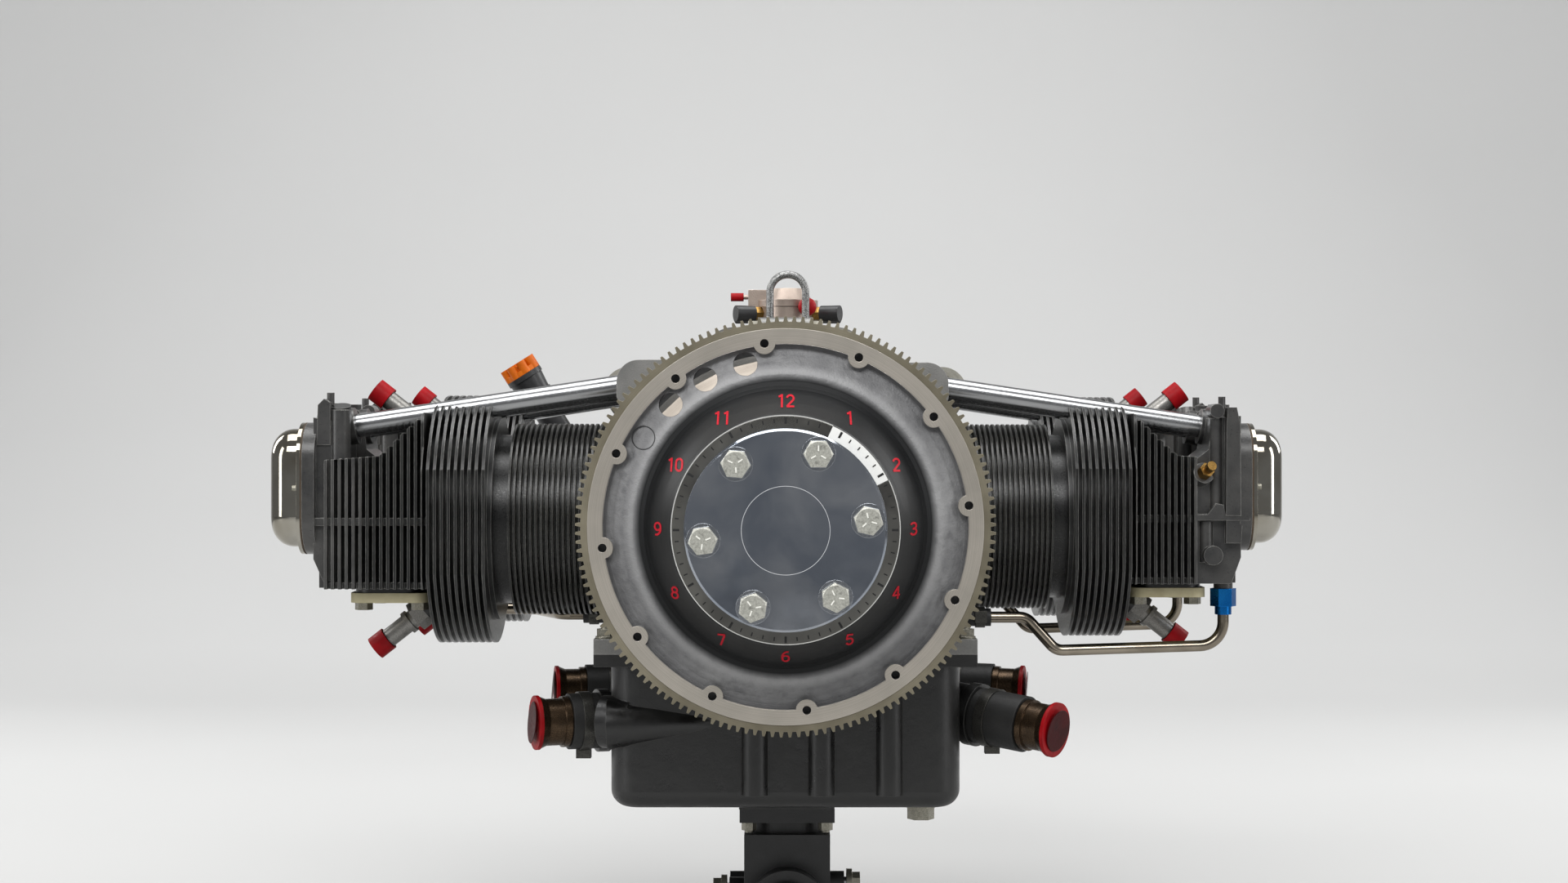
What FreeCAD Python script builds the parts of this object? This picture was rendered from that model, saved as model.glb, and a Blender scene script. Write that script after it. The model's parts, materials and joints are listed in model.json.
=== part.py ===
"""Flat four aircraft engine: air cooled, horizontally opposed, fuel injected, shown bare as it leaves the works.

Row frame, millimetres: +Z up, the propeller end faces -Y, and the origin is on the crankshaft's axis in the
plane of the starter ring gear support's machined rim. Cylinder numbers run 1 and 3 on the -X bank, 2 and 4 on
the +X bank, and cylinder 1 is the foremost. A cylinder and its head are drawn once in a bank frame, with the
cylinder's axis along +X and its centre at Y 0, and are turned half round the Z axis for the -X bank.
"""

import FreeCAD, Part
import math
import os

import Sketcher

V = FreeCAD.Vector
ROTATE_Z_180 = FreeCAD.Rotation(V(0, 0, 1), 180)

# Driving dimensions, in millimetres, degrees or plain counts. Each becomes an aliased cell of the sheet.
DIMENSIONS = {
    # crankshaft and its propeller flange
    "crank_throw": 55.56, "pin_radius": 27, "pin_length": 46, "main_radius": 30, "cheek_radius": 31,
    "flange_radius": 74, "flange_thick": 10, "nose_radius": 33, "running_gap": 0.05,
    # ring gear support, the dished casting between flange and propeller
    "rim_outer": 150.4, "rim_inner": 138, "rim_depth": 22, "hub_radius": 84, "hub_front": -66, "hub_thick": 10,
    "web_front": 6, "web_thick": 7, "dish_foot": 112, "pulley_radius": 127, "pulley_depth": 24,
    "ear_circle": 139.7, "ear_radius": 8.2, "ear_count": 12, "ear_hole": 3.3, "ear_phase": 6.6,
    "port_circle": 127, "port_radius": 9.2, "port_pitch": 14.7, "port_phase": 13.9,
    # starter ring gear
    "ring_teeth": 149, "ring_tip": 159.5, "ring_root": 155.4, "ring_width": 13,
    # plate, bolts and washers on the flange
    "plate_radius": 74, "plate_thick": 12, "bolt_circle": 60.33, "bolt_count": 6, "bolt_radius": 6.35,
    "bolt_hex": 19.05, "bolt_head": 8.4, "bolt_phase": 23.1,
    # cylinder stations along the crankshaft
    "first_station": 193, "bank_stagger": 72, "bank_pitch": 240,
    # steel barrel
    "bore_radius": 65.09, "barrel_wall": 5, "deck": 118, "skirt_end": 101, "barrel_end": 272,
    "barrel_flange": 86, "barrel_flange_thick": 9, "barrel_fin_radius": 79.5, "barrel_fin_thick": 1.7,
    "barrel_fin_pitch": 4.4, "barrel_fin_count": 21, "barrel_fin_start": 134,
    # aluminium head
    "head_start": 236, "head_fin_pitch": 5.55, "head_fin_thick": 2.3, "head_fin_count": 24,
    "head_fin_start": 240, "head_big_radius": 103, "head_big_half": 94, "head_step": 289, "head_low": -54,
    "head_high": 49, "head_small_half": 84, "box_flange": 378, "box_face": 388, "fin_side_b_end": 340,
    # rocker cover and its gasket
    "cover_width": 168, "cover_top": 80, "cover_bottom": -27, "cover_corner": 30, "cover_depth": 27.5,
    "gasket_thick": 1.5, "cover_skin": 1.6,
    # pushrod tubes
    "tube_radius": 9.5, "tube_wall": 1.2, "tube_offset": 33, "tube_inner_x": 112, "tube_inner_z": 113.5,
    "tube_outer_x": 360, "tube_outer_z": 76.3,
    # spark plugs
    "plug_angle": 38, "plug_x": 300, "plug_z": 75, "plug_radius": 8, "plug_cap_radius": 10,
    # crankcase
    "case_front": 62, "case_rear": 590, "case_top": 146, "case_sump_plane": -104, "case_flange": 152,
    "chamber_radius": 90, "cam_height": 112, "cam_shaft": 12, "cam_tunnel": 28, "nose_front": -36,
    # timing gears
    "gear_module": 2, "crank_gear_teeth": 24, "idler_teeth": 30, "cam_gear_teeth": 48, "gear_front": 594,
    "gear_width": 16,
    # accessory housing
    "accessory_rear": 652, "accessory_half": 108, "accessory_top": 172,
    # oil sump
    "sump_front": 92, "sump_rear": 556, "sump_half": 140, "sump_bottom": -228, "sump_flange_thick": 10,
    # fuel servo under the sump
    "servo_y": 300, "servo_top": -252, "servo_bottom": -408, "servo_half": 37, "servo_bore": 30,
    "throttle_z": -322,
    # rocker box drains
    "return_offset": -54, "return_z": -83.5,
    # piston
    "piston_height": 70, "piston_gap": 0.25, "piston_crown": 215, "stroke": 111.12,
}


class Dim:
    """A number with the sheet expression that it comes from, so that sums of cells stay bound to the sheet."""

    def __init__(self, value, text):
        self.value, self.text = value, text

    def __float__(self):
        return float(self.value)

    def __add__(self, other):
        return Dim(self.value + float(other), f"({self.text} + {text_of(other)})")

    def __radd__(self, other):
        return Dim(float(other) + self.value, f"({text_of(other)} + {self.text})")

    def __sub__(self, other):
        return Dim(self.value - float(other), f"({self.text} - {text_of(other)})")

    def __rsub__(self, other):
        return Dim(float(other) - self.value, f"({text_of(other)} - {self.text})")

    def __mul__(self, other):
        return Dim(self.value * float(other), f"({self.text} * {text_of(other)})")

    __rmul__ = __mul__

    def __truediv__(self, other):
        return Dim(self.value / float(other), f"({self.text} / {text_of(other)})")

    def __neg__(self):
        return Dim(-self.value, f"(0 - {self.text})")


def text_of(value):
    return value.text if isinstance(value, Dim) else repr(float(value))


class Sheet:
    """The driving dimensions as attributes: D.deck is the cell with the alias deck."""

    def __getattr__(self, name):
        return Dim(DIMENSIONS[name], f"Dims.{name}")


D = Sheet()
doc = FreeCAD.newDocument("FlatFour")


def fill_sheet():
    sheet = doc.addObject("Spreadsheet::Sheet", "Dims")
    for row, (alias, value) in enumerate(DIMENSIONS.items(), start=1):
        sheet.set(f"A{row}", alias)
        sheet.set(f"B{row}", str(value))
        sheet.setAlias(f"B{row}", alias)
    doc.recompute()


fill_sheet()

# ---------------------------------------------------------------- helpers


def bind(obj, prop, value):
    """Sets a property, and keeps it bound to the sheet where the value comes from a cell."""
    plain = float(value) if isinstance(value, Dim) else value
    setattr(obj, prop, int(plain) if prop == "Occurrences" else plain)
    if isinstance(value, Dim):
        obj.setExpression(prop, value.text)


def place(obj, at=(0, 0, 0), axis=(0, 0, 1), turn=0):
    """Puts obj's own Z axis along axis, its origin at the given point, turned about its own Z first."""
    rotation = FreeCAD.Rotation(V(0, 0, 1), V(*axis)) * FreeCAD.Rotation(V(0, 0, 1), turn)
    obj.Placement = FreeCAD.Placement(V(*[float(c) for c in at]), rotation)
    for letter, value in zip("xyz", at):
        if isinstance(value, Dim):
            obj.setExpression(f"Placement.Base.{letter}", value.text)
    return obj


def cylinder(name, radius, height, at=(0, 0, 0), axis=(0, 0, 1)):
    obj = doc.addObject("Part::Cylinder", name)
    bind(obj, "Radius", radius)
    bind(obj, "Height", height)
    return place(obj, at, axis)


def cone(name, radius_one, radius_two, height, at=(0, 0, 0), axis=(0, 0, 1)):
    obj = doc.addObject("Part::Cone", name)
    bind(obj, "Radius1", radius_one)
    bind(obj, "Radius2", radius_two)
    bind(obj, "Height", height)
    return place(obj, at, axis)


def prism(name, across_flats, height, at=(0, 0, 0), axis=(0, 0, 1), sides=6, turn=0):
    obj = doc.addObject("Part::Prism", name)
    obj.Polygon = sides
    bind(obj, "Circumradius", across_flats / (2 * math.cos(math.pi / sides)))
    bind(obj, "Height", height)
    return place(obj, at, axis, turn)


def box(name, low, high):
    """A box between two corners, whose coordinates may come from the sheet."""
    obj = doc.addObject("Part::Box", name)
    for prop, lo, hi in zip(("Length", "Width", "Height"), low, high):
        bind(obj, prop, hi - lo)
    return place(obj, low)


def fuse(name, *parts):
    obj = doc.addObject("Part::MultiFuse", name)
    obj.Shapes = list(parts)
    return obj


def common(name, *parts):
    obj = doc.addObject("Part::MultiCommon", name)
    obj.Shapes = list(parts)
    return obj


def cut(name, base, *tools):
    obj = doc.addObject("Part::Cut", name)
    obj.Base = base
    obj.Tool = tools[0] if len(tools) == 1 else fuse(name + "_tools", *tools)
    return obj


def compound(name, parts):
    obj = doc.addObject("Part::Compound", name)
    obj.Links = list(parts)
    return obj


def feature(name, shape):
    obj = doc.addObject("Part::Feature", name)
    obj.Shape = shape
    return obj


def extrusion(name, wire, direction):
    """A straight prism on a closed wire."""
    obj = doc.addObject("Part::Extrusion", name)
    obj.Base = feature(name + "_outline", wire)
    obj.DirMode = "Custom"
    obj.Dir = V(*direction)
    obj.LengthFwd = V(*direction).Length
    obj.Solid = True
    return obj


def polygon(points):
    """A closed wire through points."""
    corners = [V(*[float(c) for c in p]) for p in points]
    return Part.makePolygon(corners + corners[:1])


def rounded_wire(points, radius, closed=True):
    """Straight runs through points, joined at each corner by a tangent arc. A radius per corner may be given."""
    pts = [V(*[float(c) for c in p]) for p in points]
    count = len(pts)
    radii = list(radius) if hasattr(radius, "__len__") else [radius] * count
    corners = range(count) if closed else range(1, count - 1)
    ends = {}
    for i in corners:
        back = (pts[i - 1] - pts[i]).normalize()
        ahead = (pts[(i + 1) % count] - pts[i]).normalize()
        half = back.getAngle(ahead) / 2
        reach = float(radii[i]) / math.tan(half)
        middle = (back + ahead).normalize()
        centre = pts[i] + middle * (float(radii[i]) / math.sin(half))
        ends[i] = (pts[i] + back * reach, centre - middle * float(radii[i]), pts[i] + ahead * reach)
    edges = []
    start = ends[0][2] if closed else pts[0]
    order = list(range(1, count)) + [0] if closed else list(range(1, count))
    for i in order:
        stop = ends[i][0] if i in ends else pts[i]
        if (stop - start).Length > 1e-6:
            edges.append(Part.LineSegment(start, stop).toShape())
        if i in ends:
            edges.append(Part.Arc(*ends[i]).toShape())
            start = ends[i][2]
    return Part.Wire(edges)


def rounded_plate(name, low, high, radius, thick, x):
    """A plate with round corners that stands in the YZ plane, from X = x outwards."""
    (y0, z0), (y1, z1) = low, high
    wire = rounded_wire([(x, y0, z0), (x, y1, z0), (x, y1, z1), (x, y0, z1)], radius)
    return extrusion(name, wire, (float(thick), 0, 0))


def pipe(name, points, radius, bend, bore=None):
    """A round tube, or a solid rod with no bore, along straight runs joined by arcs."""
    spine = rounded_wire(points, bend, closed=False)
    start = spine.Vertexes[0].Point
    edge = spine.Edges[0]
    along = edge.tangentAt(edge.FirstParameter)

    def swept(r):
        ring = Part.Wire([Part.Circle(start, along, float(r)).toShape()])
        return spine.makePipeShell([ring], True, False)

    solid = swept(radius)
    return feature(name, solid.cut(swept(bore)) if bore else solid)


def linked(name, source, placement):
    obj = doc.addObject("App::Link", name)
    obj.LinkedObject = source
    obj.LinkTransform = True
    obj.Placement = placement
    return obj


# ---------------------------------------------------------------- sketches and PartDesign features


def plane(body, role):
    return next(f for f in body.Origin.OriginFeatures if f.Role == role)


def new_sketch(body, name, role, offset=0):
    sketch = body.newObject("Sketcher::SketchObject", name)
    sketch.AttachmentSupport = [(plane(body, role), "")]
    sketch.MapMode = "FlatFace"
    sketch.AttachmentOffset = FreeCAD.Placement(V(0, 0, float(offset)), FreeCAD.Rotation())
    if isinstance(offset, Dim):
        sketch.setExpression("AttachmentOffset.Base.z", offset.text)
    return sketch


def constrain(sketch, kind, *arguments):
    """Adds a constraint whose last argument is its size, bound to the sheet where it comes from a cell."""
    value = arguments[-1]
    index = sketch.addConstraint(Sketcher.Constraint(kind, *arguments[:-1], float(value)))
    if isinstance(value, Dim):
        sketch.setExpression(f"Constraints[{index}]", value.text)


def sketch_profile(body, name, role, points, offset=0):
    """A closed outline whose corners are each held at their distances from the sketch's axes."""
    sketch = new_sketch(body, name, role, offset)
    corners = [V(float(x), float(y), 0) for x, y in points]
    count = len(corners)
    for i in range(count):
        sketch.addGeometry(Part.LineSegment(corners[i], corners[(i + 1) % count]))
    for i in range(count):
        sketch.addConstraint(Sketcher.Constraint("Coincident", i, 2, (i + 1) % count, 1))
    for i, (x, y) in enumerate(points):
        constrain(sketch, "DistanceX", -1, 1, i, 1, x)
        constrain(sketch, "DistanceY", -1, 1, i, 1, y)
    return sketch


def sketch_circles(body, name, role, circles, offset=0):
    """Circles given as (x, y, radius)."""
    sketch = new_sketch(body, name, role, offset)
    for i, (x, y, radius) in enumerate(circles):
        sketch.addGeometry(Part.Circle(V(float(x), float(y), 0), V(0, 0, 1), float(radius)))
        constrain(sketch, "Radius", i, radius)
        if float(x) or float(y):
            constrain(sketch, "DistanceX", -1, 1, i, 3, x)
            constrain(sketch, "DistanceY", -1, 1, i, 3, y)
        else:
            sketch.addConstraint(Sketcher.Constraint("Coincident", i, 3, -1, 1))
    return sketch


def revolve(body, name, sketch, axis):
    made = body.newObject("PartDesign::Revolution", name)
    made.Profile = sketch
    made.ReferenceAxis = (sketch, [axis])
    made.Angle = 360
    doc.recompute()
    return made


def pad(body, name, sketch, length, backwards=False, kind="Pad"):
    made = body.newObject(f"PartDesign::{kind}", name)
    made.Profile = sketch
    bind(made, "Length", length)
    made.Reversed = backwards
    doc.recompute()
    return made


def pattern_round(body, name, source, axis, count, angle=360):
    made = body.newObject("PartDesign::PolarPattern", name)
    made.Originals = [source]
    made.Axis = axis
    bind(made, "Angle", angle)
    bind(made, "Occurrences", count)
    body.Tip = made
    doc.recompute()
    return made


def pattern_line(body, name, source, axis, length, count):
    made = body.newObject("PartDesign::LinearPattern", name)
    made.Originals = [source]
    made.Direction = axis
    bind(made, "Length", length)
    bind(made, "Occurrences", count)
    body.Tip = made
    doc.recompute()
    return made


def new_body(name):
    body = doc.addObject("PartDesign::Body", name)
    body.Label = name
    return body


def polar(radius, degrees_from_top):
    """X and Z of a point on a circle seen from the front, with angles clockwise from the top."""
    angle = math.radians(degrees_from_top)
    return float(radius) * math.sin(angle), float(radius) * math.cos(angle)


parts = {}


def keep(name, obj):
    """Registers an object as the sub-part of that name."""
    obj.Label = name
    parts[name] = obj
    return obj


# ---------------------------------------------------------------- crankshaft and what turns with it


def ring_gear_support():
    """A dished casting: hub in front, cone back to a web, machined rim with ears, V-belt groove behind."""
    body = new_body("ring_gear_support")
    front, back = D.hub_front, D.hub_front + D.hub_thick
    web_back = D.web_front + D.web_thick
    groove = D.pulley_radius - 11
    outline = [
        (26, front), (D.hub_radius, front), (D.hub_radius + 1, front + 1.5), (D.hub_radius + 3, front + 7),
        (D.hub_radius + 9, front + 22), (D.hub_radius + 16, front + 41), (D.dish_foot - 8, -12),
        (D.dish_foot - 5, -7.5), (D.dish_foot - 2, -5.2), (D.dish_foot + 1, -4.4), (D.dish_foot + 4, -3.4),
        (D.dish_foot + 8, -1.4), (D.dish_foot + 13, 1.6), (D.dish_foot + 19, 4.6),
        (D.rim_inner - 2, D.web_front), (D.rim_inner, D.web_front - 2),
        (D.rim_inner, 1), (D.rim_inner + 1, 0), (D.rim_outer, 0), (D.rim_outer, D.rim_depth),
        (D.rim_inner - 2, D.rim_depth), (D.rim_inner - 6, web_back), (D.pulley_radius, web_back),
        (D.pulley_radius, web_back + 3), (groove, web_back + 9), (groove, web_back + 12), (D.pulley_radius, web_back + 18),
        (D.pulley_radius, web_back + D.pulley_depth), (groove - 6, web_back + D.pulley_depth),
        (groove - 6, web_back - 6), (D.dish_foot - 9, 0), (D.hub_radius + 7, front + 42),
        (D.hub_radius - 3, back + 6), (D.hub_radius - 8, back), (26, back),
    ]
    revolve(body, "support_casting", sketch_profile(body, "support_profile", "XY_Plane", outline), "V_Axis")
    ear_x, ear_z = polar(D.ear_circle, -float(D.ear_phase))
    ears = sketch_circles(body, "ear_outline", "XZ_Plane", [(ear_x, ear_z, D.ear_radius)])
    ear = pad(body, "ear", ears, D.web_front + D.web_thick, backwards=True)
    pattern_round(body, "ears", ear, (plane(body, "Y_Axis"), [""]), D.ear_count)
    hole = sketch_circles(body, "ear_hole_outline", "XZ_Plane", [(ear_x, ear_z, D.ear_hole)])
    ear_hole = pad(body, "ear_hole_cut", hole, D.web_front + D.web_thick, kind="Pocket")
    pattern_round(body, "ear_holes", ear_hole, (plane(body, "Y_Axis"), [""]), D.ear_count)
    port_x, port_z = polar(D.port_circle, -float(D.port_phase))
    port = sketch_circles(body, "port_outline", "XZ_Plane", [(port_x, port_z, D.port_radius)])
    port_hole = pad(body, "port", port, web_back, kind="Pocket")
    pattern_round(body, "ports", port_hole, (plane(body, "Y_Axis"), [""]), 3, angle=-2 * D.port_pitch)
    blind_x, blind_z = polar(D.port_circle, -float(D.port_phase + 3 * D.port_pitch))
    blind = sketch_circles(body, "blind_port_outline", "XZ_Plane",
                           [(blind_x, blind_z, D.port_radius), (blind_x, blind_z, D.port_radius - 0.8)])
    pad(body, "blind_port", blind, D.web_front, kind="Pocket")
    bolt_x, bolt_z = polar(D.bolt_circle, float(D.bolt_phase))
    bolt = sketch_circles(body, "bolt_outline", "XZ_Plane", [(bolt_x, bolt_z, D.bolt_radius + 0.3)], 70)
    bolt_hole = pad(body, "bolt_hole", bolt, 20, kind="Pocket")
    pattern_round(body, "bolt_holes", bolt_hole, (plane(body, "Y_Axis"), [""]), D.bolt_count)
    return keep("ring_gear_support", body)


def starter_ring_gear():
    """Stub teeth cut straight across a ring that is shrunk on to the support."""
    teeth = int(DIMENSIONS["ring_teeth"])
    step = 2 * math.pi / teeth
    points = []
    for i in range(teeth):
        for share, radius in ((-0.27, D.ring_root), (-0.13, D.ring_tip), (0.13, D.ring_tip), (0.27, D.ring_root)):
            angle = (i + share) * step
            points.append((float(radius) * math.sin(angle), 0, float(radius) * math.cos(angle)))
    blank = extrusion("ring_gear_blank", polygon(points), (0, float(D.ring_width), 0))
    place(blank, (0, 1, 0))
    bore = cylinder("ring_gear_bore", D.rim_outer, 40, (0, -10, 0), (0, 1, 0))
    return keep("starter_ring_gear", cut("starter_ring_gear", blank, bore))


def crankshaft():
    """Four throws in one plane, 1 and 4 up with 2 and 3 down, three main journals and the propeller flange."""
    stations = [float(station(n)) for n in (1, 2, 3, 4)]
    half_pin = D.pin_length / 2
    flange_front = D.hub_front + D.hub_thick
    pieces = [
        cylinder("crank_flange", D.flange_radius, D.flange_thick, (0, flange_front, 0), (0, 1, 0)),
        cylinder("crank_nose", D.nose_radius, 86, (0, flange_front + D.flange_thick, 0), (0, 1, 0)),
        cylinder("crank_pilot", 25.5, 14, (0, flange_front - 14, 0), (0, 1, 0)),
        cylinder("main_front", D.main_radius, 118, (0, 40, 0), (0, 1, 0)),
        cylinder("main_centre", D.main_radius, 92, (0, 303, 0), (0, 1, 0)),
        cylinder("main_rear", D.main_radius, 46, (0, 543, 0), (0, 1, 0)),
        cylinder("crank_tail", 15, 34, (0, 587, 0), (0, 1, 0)),
    ]
    sides = (1, -1, -1, 1)
    for number, (y, side) in enumerate(zip(stations, sides), start=1):
        pieces.append(cylinder(f"pin_{number}", D.pin_radius, D.pin_length + 2,
                               (0, y - half_pin - 1, D.crank_throw * side), (0, 1, 0)))
    spans = [(152, stations[0] - 23, 0, 1), (stations[0] + 23, stations[1] - 23, -1, 1),
             (stations[1] + 23, 306, -1, 0), (392, stations[2] - 23, -1, 0),
             (stations[2] + 23, stations[3] - 23, -1, 1), (stations[3] + 23, 546, 0, 1)]
    for number, (y0, y1, low, high) in enumerate(spans, start=1):
        radius, name = D.cheek_radius, f"cheek_{number}"
        pieces.append(box(f"{name}_slab", (-1 * radius, y0, D.crank_throw * low),
                          (radius, y1, D.crank_throw * high)))
        pieces.append(cylinder(f"{name}_low", radius, y1 - y0, (0, y0, D.crank_throw * low), (0, 1, 0)))
        pieces.append(cylinder(f"{name}_high", radius, y1 - y0, (0, y0, D.crank_throw * high), (0, 1, 0)))
    blank = fuse("crankshaft_blank", *pieces)
    holes = []
    for i in range(int(DIMENSIONS["bolt_count"])):
        x, z = polar(D.bolt_circle, float(D.bolt_phase) + 60 * i)
        holes.append(cylinder(f"flange_hole_{i + 1}", D.bolt_radius + 0.02, 30, (x, -70, z), (0, 1, 0)))
    return keep("crankshaft", cut("crankshaft", blank, *holes))


def station(number):
    """Y of a cylinder's centre."""
    return D.first_station + D.bank_stagger * ((number - 1) % 2) + D.bank_pitch * ((number - 1) // 2)


def hub_plate():
    body = new_body("hub_plate")
    half = D.plate_thick / 2
    front = D.hub_front - D.plate_thick
    outline = [(0, front), (D.plate_radius - 1.5, front), (D.plate_radius, front + 1.5),
               (D.plate_radius, front + half * 2), (0, front + half * 2)]
    revolve(body, "plate_disc", sketch_profile(body, "plate_profile", "XY_Plane", outline), "V_Axis")
    bolt_x, bolt_z = polar(D.bolt_circle, float(D.bolt_phase))
    outline = sketch_circles(body, "plate_hole", "XZ_Plane", [(bolt_x, bolt_z, D.bolt_radius + 0.3)], 90)
    hole = pad(body, "plate_hole_cut", outline, 40, kind="Pocket")
    pattern_round(body, "plate_holes", hole, (plane(body, "Y_Axis"), [""]), D.bolt_count)
    pilot = sketch_circles(body, "pilot_outline", "XZ_Plane", [(0, 0, 26)], 66)
    pad(body, "pilot_recess", pilot, 5, backwards=True, kind="Pocket")
    return keep("hub_plate", body)


def hub_bolts():
    """Six hexagon bolts, each with its washer face, through plate and support into the flange."""
    made = []
    face = D.hub_front - D.plate_thick
    for i in range(int(DIMENSIONS["bolt_count"])):
        x, z = polar(D.bolt_circle, float(D.bolt_phase) + 60 * i)
        n = i + 1
        made.append(fuse(
            f"hub_bolt_{n}",
            cylinder(f"hub_washer_{n}", 12.7, 1.6, (x, face - 1.6, z), (0, 1, 0)),
            common(f"hub_head_{n}",
                   prism(f"hub_hex_{n}", D.bolt_hex, D.bolt_head, (x, face - 1.6 - D.bolt_head, z), (0, 1, 0), turn=13 * i),
                   cone(f"hub_chamfer_{n}", D.bolt_hex / 2 - 0.5, D.bolt_hex / 2 + 13.5, D.bolt_head,
                        (x, face - 1.6 - D.bolt_head, z), (0, 1, 0))),
            cylinder(f"hub_shank_{n}", D.bolt_radius, 34, (x, face - 2, z), (0, 1, 0)),
        ))
    return keep("hub_bolts", compound("hub_bolts", made))


def spur_gear(name, teeth, at, bore, phase_teeth=0.0):
    """An external spur gear about the Y axis with involute flanks and a little backlash."""
    module, pressure = DIMENSIONS["gear_module"], math.radians(20)
    pitch_radius = module * teeth / 2
    base = pitch_radius * math.cos(pressure)
    root, tip = pitch_radius - 1.25 * module, pitch_radius + 0.94 * module
    backlash = 0.16 / pitch_radius

    def flank(radius):
        """Angle by which the flank lies behind its place on the pitch circle."""
        if radius <= base:
            return math.tan(pressure) - pressure
        turned = math.acos(base / radius)
        return (math.tan(pressure) - pressure) - (math.tan(turned) - turned)

    half = math.pi / (2 * teeth) - backlash / 2
    radii = [root, max(base, root + 0.3), pitch_radius, tip]
    points = []
    for i in range(teeth):
        middle = 2 * math.pi * (i + phase_teeth) / teeth
        left = [(r, middle - half - flank(r)) for r in radii]
        right = [(r, middle + half + flank(r)) for r in reversed(radii)]
        points += [(r * math.sin(a), 0, r * math.cos(a)) for r, a in left + right]
    blank = extrusion(name + "_blank", polygon(points), (0, float(D.gear_width), 0))
    x, z = at
    place(blank, (x, D.gear_front, z))
    hole = cylinder(name + "_bore", bore, 60, (x, D.gear_front - 20, z), (0, 1, 0))
    return cut(name, blank, hole)


def idler_centre():
    """The idler meshes with both the crankshaft gear and the camshaft gear."""
    module = DIMENSIONS["gear_module"]
    to_crank = module * (DIMENSIONS["crank_gear_teeth"] + DIMENSIONS["idler_teeth"]) / 2
    to_cam = module * (DIMENSIONS["cam_gear_teeth"] + DIMENSIONS["idler_teeth"]) / 2
    height = float(D.cam_height)
    z = (to_crank ** 2 - to_cam ** 2 + height ** 2) / (2 * height)
    return math.sqrt(to_crank ** 2 - z ** 2), z


def mesh_phase(teeth, own_centre, mate_teeth, mate_centre, mate_phase):
    """Phase, in teeth, that sets a gap of this gear on the line of centres where its mate has a tooth."""
    dx, dz = own_centre[0] - mate_centre[0], own_centre[1] - mate_centre[1]
    from_mate = math.atan2(dx, dz)
    mate_place = (from_mate * mate_teeth / (2 * math.pi) - mate_phase) % 1.0
    own_line = (from_mate + math.pi) * teeth / (2 * math.pi)
    return (own_line + 0.5 + mate_place) % 1.0


def timing_gears():
    """Crankshaft gear, idler and camshaft gear in one plane behind the rear main bearing."""
    crank_teeth, idler_teeth, cam_teeth = (int(DIMENSIONS[k]) for k in
                                           ("crank_gear_teeth", "idler_teeth", "cam_gear_teeth"))
    idler, cam = idler_centre(), (0, float(D.cam_height))
    keep("crankshaft_gear", spur_gear("crankshaft_gear", crank_teeth, (0, 0), 15))
    idler_phase = mesh_phase(idler_teeth, idler, crank_teeth, (0, 0), 0.0)
    wheel = spur_gear("idler_wheel", idler_teeth, idler, 9, idler_phase)
    hub = cut("idler_hub", cylinder("idler_boss", 14, 20, (idler[0], 592, idler[1]), (0, 1, 0)),
              cylinder("idler_bush", 9, 40, (idler[0], 580, idler[1]), (0, 1, 0)))
    keep("idler_gear", fuse("idler_gear", wheel, hub))
    cam_phase = mesh_phase(cam_teeth, cam, idler_teeth, idler, idler_phase)
    keep("camshaft_gear", spur_gear("camshaft_gear", cam_teeth, cam, 12, cam_phase))


def camshaft():
    """Bearings, plain shaft and a lobe for each tappet pair, each lobe a round base with a smaller nose."""
    made = [cylinder("cam_shaft", D.cam_shaft, 494, (0, 120, D.cam_height), (0, 1, 0))]
    for number in (1, 2, 3, 4):
        for side in (-1, 1):
            y = float(station(number)) + side * float(D.tube_offset)
            angle = math.radians(90 * number + 55 * side)
            x, z = 8 * math.sin(angle), float(D.cam_height) + 8 * math.cos(angle)
            name = f"lobe_{number}_{'front' if side < 0 else 'rear'}"
            made.append(cylinder(f"{name}_base", 15.5, 14, (0, y - 7, D.cam_height), (0, 1, 0)))
            made.append(cylinder(f"{name}_nose", 12, 14, (x, y - 7, z), (0, 1, 0)))
    return keep("camshaft", fuse("camshaft", *made))


# ---------------------------------------------------------------- one cylinder, drawn in the bank frame


def barrel_master():
    """Steel barrel: skirt, base flange, thin fins and the plain end that the head is shrunk on to."""
    body = new_body("barrel")
    outer = D.bore_radius + D.barrel_wall
    flange_end = D.deck + D.barrel_flange_thick
    outline = [(D.skirt_end, D.bore_radius), (D.skirt_end, outer), (D.deck, outer), (D.deck, D.barrel_flange),
               (flange_end, D.barrel_flange), (flange_end, outer), (D.barrel_end, outer),
               (D.barrel_end, D.bore_radius)]
    revolve(body, "barrel_sleeve", sketch_profile(body, "sleeve_profile", "XY_Plane", outline), "H_Axis")
    ring = sketch_circles(body, "fin_outline", "YZ_Plane",
                          [(0, 0, D.barrel_fin_radius), (0, 0, outer - 2)], D.barrel_fin_start)
    fin = pad(body, "barrel_fin", ring, D.barrel_fin_thick)
    length = (D.barrel_fin_count - 1) * D.barrel_fin_pitch
    pattern_line(body, "barrel_fins", fin, (plane(body, "X_Axis"), [""]), length, D.barrel_fin_count)
    return body


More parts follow.
